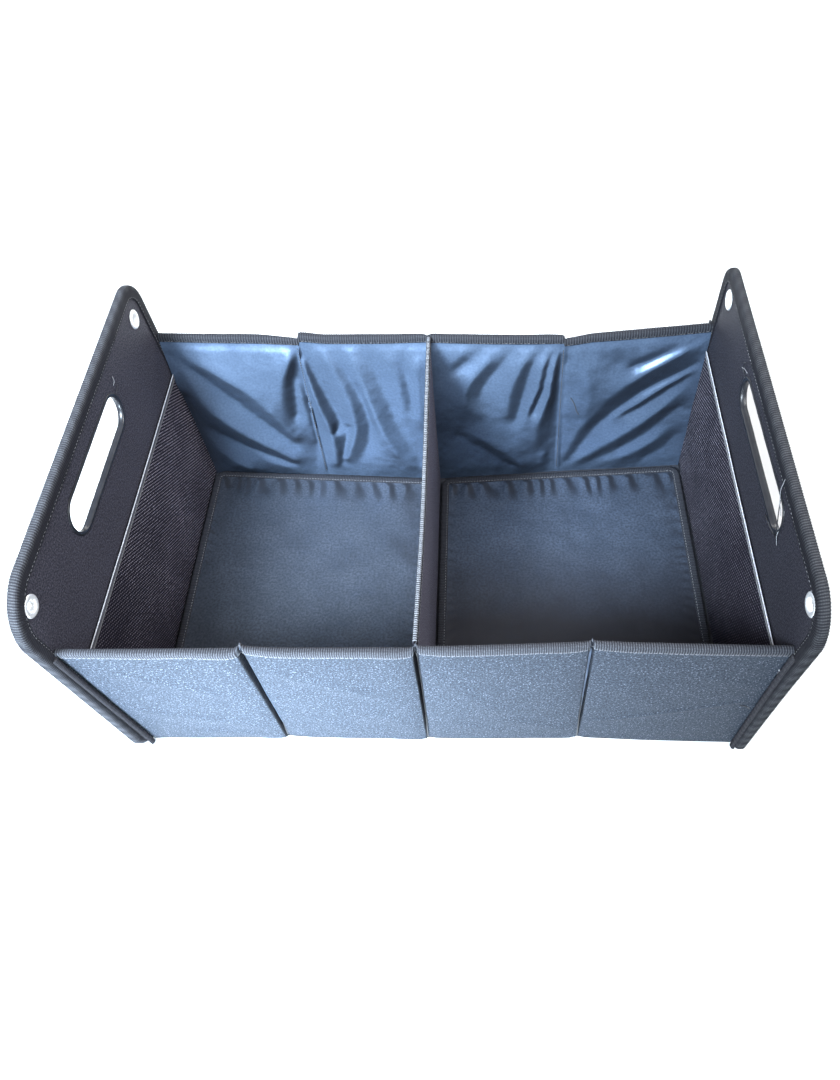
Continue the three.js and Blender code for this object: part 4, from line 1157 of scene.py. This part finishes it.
ztape = 6.0  # how far the top tape reaches down
pieces = {}
for name in ("front", "back"):
    out = WALLS[name]["out"]
    # outer cloth
    S = along(name, 3.0 if name == "front" else 4.5, 0.7, 9.0)
    t = np.linspace(0, 1, 72 if name == "front" else 44)
    SS, TT = np.meshgrid(S, t)
    top = wall_top(name, SS)
    ZZ = Z0 + (top - Z0) * TT
    P0 = wall_point(name, SS, ZZ, 0.0)
    # the foot turns under
    foot = np.exp(-((ZZ - Z0) / 1.4) ** 2)
    P0[..., 1] -= out * 0.9 * foot
    P1 = P0.copy()
    P1[..., 1] -= out * 0.65
    x, _ = wall_xy(name, SS, ZZ)
    cloth = grid_solid(f"{name}_wall_outer_cloth", P0, P1, np.stack([x, ZZ], -1), OUTER)
    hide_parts(f"{name}_wall_outer_cover")
    pieces[name] = cloth
    # stiffeners between the creases
    for i in range(4):
        a = 0.2 if i == 0 else 3.5
        b = 0.2 if i == 3 else 12.0
        l = 120.0
        S = np.linspace(i + (a + 1.5) / l, i + 1 - (b + 1.5) / l, 14)
        Z = np.linspace(3.0, 158.0, 12)
        SS, ZZ = np.meshgrid(S, Z)
        base = np.clip(wall_in(name, SS, ZZ), None, 1.6)
        bp = wall_point(name, SS, ZZ, 0.9 + base, False)
        bq = wall_point(name, SS, ZZ, 2.7 + base, False)
        bd = grid_solid(f"{name}_stiffener_{i + 1}", bp, bq, np.stack([SS * 120, ZZ], -1), BOARD, sharp=30)
        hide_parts(f"{name}_wall_board_{i + 1}")
    # linings
    for half, (s0, s1) in (("left", (0.0, 2.0)), ("right", (2.0, 4.0))):
        step = 1.5 if name == "back" else 3.0
        n = int(240 / step)
        S = np.linspace(s0 + (0.0 if s0 == 0 else 0.004), s1 - (0.0 if s1 == 4 else 0.004), n)
        Z = np.linspace(0.0, 1.0, int(176 / step))
        SS, TT = np.meshgrid(S, Z)
        top = wall_top(name, SS) - 0.9
        ZZ = Z0 + (top - Z0) * TT
        din = lining_in(name, SS, ZZ)
        P0 = wall_point(name, SS, ZZ, din, False)
        P1 = wall_point(name, SS, ZZ, din - 0.5, False)
        x, _ = wall_xy(name, SS, ZZ)
        lin = grid_solid(f"{name}_{half}_lining_cloth", P0, P1, np.stack([x, ZZ], -1), LINING)
        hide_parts(f"{name}_{half}_lining")
    # top tape
    gap = 0.8 if name == "front" else 1.1
    n = int(487 / gap)
    S = np.linspace(0, 4, n)
    L = (np.arange(n) - 0.5) * gap
    rib = (np.arange(n) % 2) * (0.8 + 0.4 * np.random.default_rng(5 if name == "front" else 6).random(n))
    top = wall_top(name, S)
    fwd = wall_in(name, S, top - 5) + 0.0
    rear = lining_in(name, S, top - 5) - 2.7
    # small loops where the tape is folded at the creases
    hump = np.zeros(n)
    for i, h, w in ((1, 2.9, 3.4), (2, 1.6, 3.0), (3, 1.0, 3.0)) if name == "front" else ((1, 0.8, 1.5), (3, 0.5, 2.0)):
        cx, _ = wall_xy(name, float(i), 175.0)
        x, _ = wall_xy(name, S, top)
        hump += h * bump(x, float(cx), w)
    wav = 0.35 * fbm(L, L * 0, 12 if name == "front" else 14, 28, 2)
    # the wall's depth for points on the outer side, d < 2, follows the outer cloth, and on the inner side the lining
    sec = [(-0.15, -ztape - 0.1, 0, 0, 0), (-0.5, -ztape + 0.2, -1, 0, 0.12), (-0.55, -ztape + 1.8, -1, 0, 0.24), (-0.6, -2.4, -1, 0, 0.28), (-0.45, -0.7, -1, 0.3, 0.30),
           (0.15, 0.35, -0.6, 0.8, 0.30), (1.35, 0.8, 0, 1, 0.30), (2.55, 0.35, 0.6, 0.8, 0.30), (3.2, -0.7, 1, 0.3, 0.30), (3.4, -2.4, 1, 0, 0.28), (3.4, -ztape + 1.8, 1, 0, 0.24),
           (3.3, -ztape + 0.2, 1, 0, 0.12), (2.95, -ztape - 0.1, 0, 0, 0), (2.9, -0.9, 0, 0, 0), (2.2, -0.1, 0, 0, 0), (0.6, -0.1, 0, 0, 0), (-0.05, -0.9, 0, 0, 0)]
    rings, uvs, sv = [], [], 0.0
    for j, (d, dz, ad, az, amp) in enumerate(sec):
        side_k = np.clip(d / 3.0, 0, 1)
        off = fwd * (1 - side_k) + rear * side_k
        x, y = wall_xy(name, S, top)
        zz = top + dz + az * amp * rib + hump * (1.0 if dz > -2 else 0.25) + wav * 0.5
        xx, yy = wall_xy(name, S, zz)
        yy = yy - out * (d + off + ad * amp * rib + wav * 0.3)
        rings.append(np.stack([xx, yy, zz], 1))
        if j:
            sv += math.hypot(d - sec[j - 1][0], dz - sec[j - 1][1])
        uvs.append(np.stack([L, np.full(n, sv)], 1))
    tape = loft(f"{name}_wall_top_tape", np.stack(rings, 1), FRONTTAPE if name == "front" else BACKTAPE, fold_at(uvs, 6))
    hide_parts(f"{name}_wall_binding")
    bag = Bag()
    S2 = np.linspace(0.01, 3.99, 300)
    tz = wall_top(name, S2) - ztape + 1.1
    stitches(bag, wall_point(name, S2, tz, -0.72), (0, out, 0), 3.2, 2.1, 0.2, 0.14)
    stitches(bag, wall_point(name, S2, tz, lining_in(name, S2, tz + 2) + 0.85, False), (0, -out, 0), 3.2, 2.1, 0.2, 0.14)
    st = bag.build(f"{name}_wall_stitching", THREAD)

# seams of the back lining at the quarter lines, and loose threads
def strand(name, pts, radius, mat):
    q = np.array(pts, float)
    t = np.linspace(0, len(q) - 1, 12 * (len(q) - 1) + 1)
    path = np.stack([np.interp(t, np.arange(len(q)), q[:, k]) for k in range(3)], 1)
    for _ in range(8):
        path[1:-1] = (path[:-2] + 2 * path[1:-1] + path[2:]) / 4
    V, f = tube(path, radius, 6)
    return make(name, V, f, mat)


for i, (xa, xb) in ((1, (-116.8, -115.8)), (3, (116.6, 122.3))):
    zz = np.linspace(8, 167, 150)
    xt = xa + (xb - xa) * (167 - zz) / 159
    x1, _ = wall_xy("back", np.full(150, float(i)), zz)
    ss = i + (xt - x1) / 116.0
    bag = Bag()
    stitches(bag, wall_point("back", ss, zz, lining_in("back", ss, zz) + 0.3, False), (0, -1, 0), 2.9, 2.3, 0.42, 0.2)
    bag.build(f"back_seam_stitching_{i}", BLACK)


def on_panel(side, pts):
    q = np.array(pts, float)
    return panel_xyz(side, q[:, 0], q[:, 1], q[:, 2])


strand("right_slot_thread_1", on_panel("right", [(-66, 207, 0.1), (-59, 213, -0.9), (-55, 221, -1.9), (-53, 230, -1.0)]), 0.26, THREAD)
strand("right_slot_thread_2", on_panel("right", [(-57, 213, 0.0), (-64, 206, -0.9), (-71, 196, -0.7), (-75, 190, 0.4)]), 0.36, TRIM)
strand("right_slot_thread_3", on_panel("right", [(-47, 183, 0.2), (-58, 186.5, -0.6), (-67, 190, -0.9), (-74, 191, 0.2)]), 0.32, TRIM)
strand("right_slot_thread_4", on_panel("right", [(-71, 197, 0.2), (-74, 194, -0.9), (-77, 189, 0.1)]), 0.24, THREAD)
strand("right_slot_thread_5", on_panel("right", [(60, 208, 0.4), (66, 211, -0.6), (68, 216, -0.9), (64, 219, -0.2)]), 0.3, TRIM)
strand("right_slot_thread_6", on_panel("right", [(58, 214, 0.4), (64, 214, -0.7), (70, 209, -0.3)]), 0.22, THREAD)
strand("left_slot_thread_1", on_panel("left", [(62.5, 211, 0.4), (64.5, 213.5, -0.8), (66.5, 217, -0.2)]), 0.3, THREAD)
strand("left_slot_thread_2", on_panel("left", [(58, 204, 0.3), (63, 207, -0.8), (67, 207, -0.2)]), 0.3, TRIM)
# a dark strip down each crease of the front wall: a sewn line, made thick and black as painted shade for the shadowed
# fold gap
for i, r in ((1, 0.85), (2, 0.85), (3, 0.7)):
    zz = np.linspace(3, 165, 12)
    strand(f"front_crease_seam_{i}", wall_point("front", np.full(12, i - 0.006), zz, -0.25), r, BLACK)
q = np.array([(124.7, 108.4), (127.5, 103), (129.4, 97.5), (130.4, 92), (133.2, 86.5)])
ss = np.interp(q[:, 0], [116.6, 236.0], [3.0, 4.0])
strand("lining_thread", wall_point("back", ss, q[:, 1], lining_in("back", ss, q[:, 1]) + 0.35, False), 0.38, BLACK)
q = np.array([(232.0, 84.0), (235.5, 82.5), (238.5, 80.5), (240.5, 77.5)])
ss = np.interp(q[:, 0], [116.6, 244.0], [3.0, 4.0])
strand("wall_thread", wall_point("front", ss, q[:, 1], -0.45), 0.35, BLACK)

# taped side seams: where a long wall is sewn to an end panel
for name in ("front", "back"):
    out = WALLS[name]["out"]
    for side in ("left", "right"):
        sgn = 1.0 if side == "left" else -1.0
        zz = np.linspace(1.6, 174.0, 250)
        w = WALLS[name]
        k = 0 if side == "left" else 4
        t = zz / 175.6
        y = w["foot"][k, 1] + (w["top"][k, 1] - w["foot"][k, 1]) * t + out * 0.6
        rib = (np.arange(250) % 2) * 1.0
        # section around the corner: y outward, x away from the panel
        sec = [(0.2, 0.15, 0), (0.9, 1.7, 0.5), (2.4, 2.0, 1), (4.4, 1.35, 1), (5.2, 0.5, 0.6), (5.2, 0.1, 0), (0.2, -0.1, 0)]
        rings, uvs = [], []
        for dy, dx, amp in sec:
            yy = y + out * dy
            xx = face_x(side, yy, zz) + sgn * (dx + 0.28 * amp * rib)
            rings.append(np.stack([xx, yy, zz], 1))
            uvs.append(np.stack([zz, np.full(250, dy)], 1))
        loft(f"{name}_{side}_side_tape", np.stack(rings, 1), SIDETAPE, np.stack(uvs, 1))

# ------------------------------------------------------------------ divider
DY = [(-136.5, 172.3), (-120, 170.5), (-92, 168.7), (-55, 167.0), (-20, 166.8), (20, 169.3), (55, 172.8), (95, 175.6), (136, 177.6), (146.5, 178.2)]


def div_top(y):
    q = np.array(DY)
    y = np.asarray(y, float)
    a = np.interp(y, q[:, 0], q[:, 1])
    b = np.interp(y + 12, q[:, 0], q[:, 1])
    c = np.interp(y - 12, q[:, 0], q[:, 1])
    return 0.5 * a + 0.25 * b + 0.25 * c


def div_x(y, z):
    """The divider leans a little and bows along its length."""
    y, z = np.asarray(y, float), np.asarray(z, float)
    return 2.3 - 1.9 * z / 175 + 0.9 * np.sin(pi * (y + 140) / 285) * z / 175 + 0.25 * fbm(y, z, 400, 40, 2)


def div_ends(z):
    t = np.asarray(z, float) / 175.6
    f = -146.8 + (-151 + 146.8) * t + 9.6
    b = 136.5 + (152.8 - 136.5) * t - 5.0
    return f, b


ys = np.linspace(0, 1, 90)
ts = np.linspace(0, 1, 56)
YY, TT = np.meshgrid(ys, ts)
for label, (d0, d1) in (("left", (-1.2, -0.75)), ("right", (1.2, 0.75))):
    f, b = div_ends(Z0 + 170 * TT)
    Y = f + (b - f) * YY
    Zt = div_top(Y) - 1.2
    Z = Z0 + (Zt - Z0) * TT
    f, b = div_ends(Z)
    Y = f + (b - f) * YY
    wr = 0.35 * fbm(Y, Z, 410 if label == "left" else 420, 30, 3) * np.sin(pi * np.clip(TT, 0, 1))
    sg = math.copysign(1, d0)
    P0 = np.stack([div_x(Y, Z) + d0 + wr * sg * 0.8, Y, Z], -1)
    P1 = np.stack([div_x(Y, Z) + d1, Y, Z], -1)
    c = grid_solid(f"divider_{label}_cloth", P0, P1, np.stack([Y, Z], -1), DIVIDER)
    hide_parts(f"divider_{label}_cover")
f, b = div_ends(Z0 + 170 * TT)
Y = f + 2 + (b - f - 4) * YY
Z = 2.0 + (div_top(Y) - 3.0 - 2.0) * TT
P0 = np.stack([div_x(Y, Z) - 0.6, Y, Z], -1)
P1 = np.stack([div_x(Y, Z) + 0.6, Y, Z], -1)
dv = grid_solid("divider_stiffener", P0[::5, ::5], P1[::5, ::5], np.stack([Y, Z], -1)[::5, ::5], BOARD, sharp=30)
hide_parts("divider_board")
n = 410
f, b = div_ends(170)
yy = np.linspace(f + 0.4, b - 0.2, n)
rib = (np.arange(n) % 2) * 1.0
zt = div_top(yy) + 0.3 * fbm(yy, yy * 0, 430, 16, 2)
sec = [(-1.35, -7.4, 0, 0, 0), (-1.65, -7.1, -1, 0, 0.06), (-1.7, -4.6, -1, 0, 0.12), (-1.65, -1.4, -1, 0.2, 0.2), (-1.3, -0.2, -0.7, 0.7, 0.26), (-0.5, 0.35, 0, 1, 0.28),
       (0.5, 0.35, 0, 1, 0.28), (1.3, -0.2, 0.7, 0.7, 0.26), (1.65, -1.4, 1, 0.2, 0.2), (1.7, -4.6, 1, 0, 0.12), (1.65, -7.1, 1, 0, 0.06), (1.35, -7.4, 0, 0, 0),
       (1.3, -1.5, 0, 0, 0), (0, -0.7, 0, 0, 0), (-1.3, -1.5, 0, 0, 0)]
rings, uvs, sv = [], [], 0
for j, (dx, dz, ax, az, amp) in enumerate(sec):
    z = zt + dz + az * amp * rib
    rings.append(np.stack([div_x(yy, z) + dx + ax * amp * rib, yy, z], 1))
    if j:
        sv += math.hypot(dx - sec[j - 1][0], dz - sec[j - 1][1])
    uvs.append(np.stack([np.linspace(0, 287, n), np.full(n, sv)], 1))
dt = loft("divider_top_tape", np.stack(rings, 1), DIVTAPE, fold_at(uvs, 5, 6))
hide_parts("divider_binding")
bag = Bag()
y2 = np.linspace(f + 2, b - 2, 120)
for sg in (-1, 1):
    z2 = div_top(y2) - 6.0
    stitches(bag, np.stack([div_x(y2, z2) + sg * 1.72, y2, z2], 1), (sg, 0, 0), 3.2, 2.1, 0.2, 0.14)
bag.build("divider_stitching", THREAD)

# ------------------------------------------------------------------ base and floor boards
foot = []
for name in ("front", "back"):
    S = np.linspace(0, 4, 81)
    x, y = wall_xy(name, S, 0.5)
    y = y - WALLS[name]["out"] * (np.clip(wall_in(name, S, 2.0), -2, 9) * 0.7 + 0.5)
    q = np.stack([x, y], 1)
    foot.append(q if name == "front" else q[::-1])
yr = np.linspace(-143, 147, 30)
foot.insert(1, np.stack([face_x("right", yr, 0.0) + 1.2, yr], 1))
foot.append(np.stack([face_x("left", yr[::-1], 0.0) - 1.2, yr[::-1]], 1))
plan = np.concatenate(foot)
bf = region(plan, [], 6.0)
base = region_solid(
    "base_cloth", bf,
    lambda u, v: np.stack([u, v, 0.75 + 0.1 * fbm(u, v, 500, 30, 2)], -1),
    lambda u, v: np.stack([u, v, 0.0 * u], -1), BASECLOTH,
)
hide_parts("bottom_fabric")

FLOORS = {
    "left": ([[-235.2, -138.5], [-2.2, -138.5], [-2.2, 127.6], [-235.2, 141.6]], 520),
    "right": ([[5.2, -136.0], [245.2, -136.0], [245.4, 141.2], [5.2, 127.8]], 540),
}
for side, (corners, seed) in FLOORS.items():
    rad = [10.0] * 4
    body = f"{side}_floor"
    nc, ns = counts(corners, rad, 0.7)
    nc2, ns2 = counts(corners, rad, 2.6)
    full = region(outline(corners, 0.9, rad, nc2, ns2), [], 2.9)
    low = region(outline(corners, 0.9, rad, nc2, ns2), [], 7.0)
    small = region(outline(corners, 1.8, rad, nc2, ns2), [], 9.0)
    edge_line = outline(corners, 0, rad, nc2, ns2)

    def soft(u, v, seed=seed, line=edge_line, corners=corners):
        """Loose cloth on the board: puckers beside the tape, long shallow waves inside."""
        p = np.stack([u, v], 1)
        d = distance(p, line)
        c = np.mean(corners, 0)
        ang = np.arctan2(v - c[1], u - c[0])
        k = 0.45 * np.clip(fbm(u, v, seed, 42, 3), -1, 1)
        k = k + 0.30 * np.sin(ang * 70 + 3 * vnoise(u, v, seed + 3, 30)) * np.exp(-((d - 9) / 7) ** 2)
        back = corners[2][1] + (corners[3][1] - corners[2][1]) * (corners[2][0] - u) / (corners[2][0] - corners[3][0]) - v
        tuck = np.sin(u / 2.6 + 5.0 * vnoise(u, v * 0.2, seed + 31, 26) + 0.03 * back) * (0.55 + 0.6 * vnoise(u, v * 0.2, seed + 33, 34))
        k = k + 1.9 * tuck * np.exp(-((back - 9) / 14) ** 2) * smooth(6, 12, back)
        k = k + 0.9 * (1 - np.exp(-((d - 8) / 16) ** 2)) * smooth(8, 14, d)
        k = k + 0.35 * fbm(u * 0.35, v, seed + 9, 12, 2) * smooth(8, 30, d) * 0.5
        return np.where(d < 7.5, 0.0, k) * smooth(7.0, 10.0, d)

    top = region_solid(
        f"{side}_floor_top_cloth", full,
        lambda u, v: np.stack([u, v, 5.45 + np.clip(soft(u, v), -0.4, 3.4)], -1),
        lambda u, v: np.stack([u, v, 5.0 + 0 * u], -1), FLOORCLOTH if side == "left" else FLOORCLOTH_SHEEN_SHADE_R, body,
    )
    bot = region_solid(
        f"{side}_floor_under_cloth", low,
        lambda u, v: np.stack([u, v, 2.6 + 0 * u], -1),
        lambda u, v: np.stack([u, v, 2.1 + 0 * u], -1), FLOORCLOTH, body,
    )
    brd = region_solid(
        f"{side}_floor_stiffener", small,
        lambda u, v: np.stack([u, v, 4.7 + 0 * u], -1),
        lambda u, v: np.stack([u, v, 2.9 + 0 * u], -1), BOARD, body, sharp=30,
    )
    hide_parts(f"{side}_floor_top_cover")
    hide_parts(f"{side}_floor_bottom_cover")
    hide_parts(f"{side}_floor_board")
    sec = [(7.6, 5.5, 0, 0, 0), (7.3, 5.95, 0, 1, 0.08), (4.0, 6.1, 0, 1, 0.2), (1.6, 6.0, 0, 1, 0.28), (0.4, 5.5, -0.7, 0.7, 0.3), (0.0, 3.8, -1, 0, 0.3), (0.4, 2.1, -0.7, -0.7, 0.2),
           (1.6, 1.55, 0, -1, 0.1), (7.3, 1.45, 0, -1, 0.05), (7.6, 1.7, 0, 0, 0), (7.4, 2.0, 0, 0, 0), (1.2, 2.1, 0, 0, 0), (0.7, 3.8, 0, 0, 0), (1.2, 5.45, 0, 0, 0), (7.4, 5.5, 0, 0, 0)]
    base0 = outline(corners, 0, rad, nc, ns)
    N = len(base0)
    length = np.concatenate([[0], np.cumsum(np.linalg.norm(np.diff(base0, axis=0), axis=1))])
    rib = (np.arange(N) % 2) * (0.8 + 0.4 * np.random.default_rng(seed).random(N))
    rings, uvs, sv = [], [], 0.0
    wav = 0.28 * fbm(base0[:, 0], base0[:, 1], seed + 21, 12, 2)
    for j, (e, z, de, dz, amp) in enumerate(sec):
        o1 = outline(corners, e, rad, nc, ns)
        if de:
            o2 = outline(corners, e + de * amp, rad, nc, ns)
            o1 = o1 + (o2 - o1) * rib[:, None]
        zz = z + dz * amp * rib + (wav if j < 5 else 0)
        rings.append(np.stack([o1[:, 0], o1[:, 1], np.broadcast_to(zz, (N,))], 1))
        if j:
            sv += math.hypot(e - sec[j - 1][0], z - sec[j - 1][1])
        uvs.append(np.stack([length, np.full(N, sv)], 1))
    tape = loft(f"{side}_floor_edge_tape", np.stack(rings, 1), FLOORTAPE, fold_at(uvs, 5), closed=True, body=body)
    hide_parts(f"{side}_floor_binding")
    bag = Bag()
    o1 = outline(corners, 6.2, rad, nc2, ns2)
    line = np.stack([np.append(o1[:, 0], o1[0, 0]), np.append(o1[:, 1], o1[0, 1]), np.full(len(o1) + 1, 6.08)], 1)
    stitches(bag, line, (0, 0, 1), 3.0, 2.0, 0.2, 0.14)
    st = bag.build(f"{side}_floor_stitching", THREAD, body)
    w = abs(corners[1][0] - corners[0][0]) / 1000

# ------------------------------------------------------------------ floor, light, look
n = Nodes("floor_white")
v = n.place()
f = n.noise(v, 0.002, 2.0)
floor_mat = n.done(n.mix(f, (0.90, 0.90, 0.905), (0.93, 0.93, 0.93)), 0.85, None, Specular_IOR_Level=0.1)
me = bpy.data.meshes.new("floor")
me.from_pydata([(-12, -12, 0), (12, -12, 0), (12, 12, 0), (-12, 12, 0)], [], [(0, 1, 2, 3)])
floor = bpy.data.objects.new("floor", me)
floor.location.z = -0.0001
scene.collection.objects.link(floor)
me.materials.append(floor_mat)


LOW, SIDE, FRONT, OVER, DROP = 2.2, 6.7, 5.0, 3.9, 27.0


def area(name, loc, target, size, power, color, spread):
    l = bpy.data.lights.new(name, "AREA")
    l.shape = "RECTANGLE"
    l.size, l.size_y = size
    l.energy = power
    l.spread = math.radians(spread)
    l.color = color
    o = bpy.data.objects.new(name, l)
    scene.collection.objects.link(o)
    o.location = loc
    o.rotation_euler = (Vector(target) - Vector(loc)).to_track_quat("-Z", "Y").to_euler()
    return o


area("low_left", (-0.25, -0.80, 0.10), (-0.13, -0.15, 0.09), (0.30, 0.16), LOW, (0.70, 0.86, 1.0), 42)
area("key_side", (-0.52, -0.66, 0.98), (-0.10, 0.15, 0.12), (0.34, 0.30), SIDE, (0.76, 0.89, 1.0), 52)
area("key_front", (-0.10, -0.74, 0.86), (0.0, 0.1, 0.05), (0.32, 0.32), FRONT, (0.78, 0.89, 1.0), 120)
area("fill_right", (0.62, -0.05, 0.75), (-0.20, 0.0, 0.10), (0.5, 0.5), 1.7, (1.0, 1.0, 1.0), 70)
area("overhead", (0.0, 0.1, 1.6), (0.0, 0.0, 0.0), (1.6, 1.6), OVER, (1.0, 1.0, 1.0), 180)
area("backdrop", (0.0, 1.75, 0.95), (0.0, 0.9, 0.0), (3.2, 0.5), DROP, (1.0, 1.0, 1.0), 150)
world = bpy.data.worlds.new("world")
scene.world = world
world.use_nodes = True
bg = world.node_tree.nodes["Background"]
bg.inputs[0].default_value = (0.96, 0.98, 1.0, 1)
bg.inputs[1].default_value = 0.35
scene.view_settings.view_transform = "Standard"
scene.view_settings.look = "None"
scene.view_settings.exposure = 0.0

bpy.context.view_layer.update()
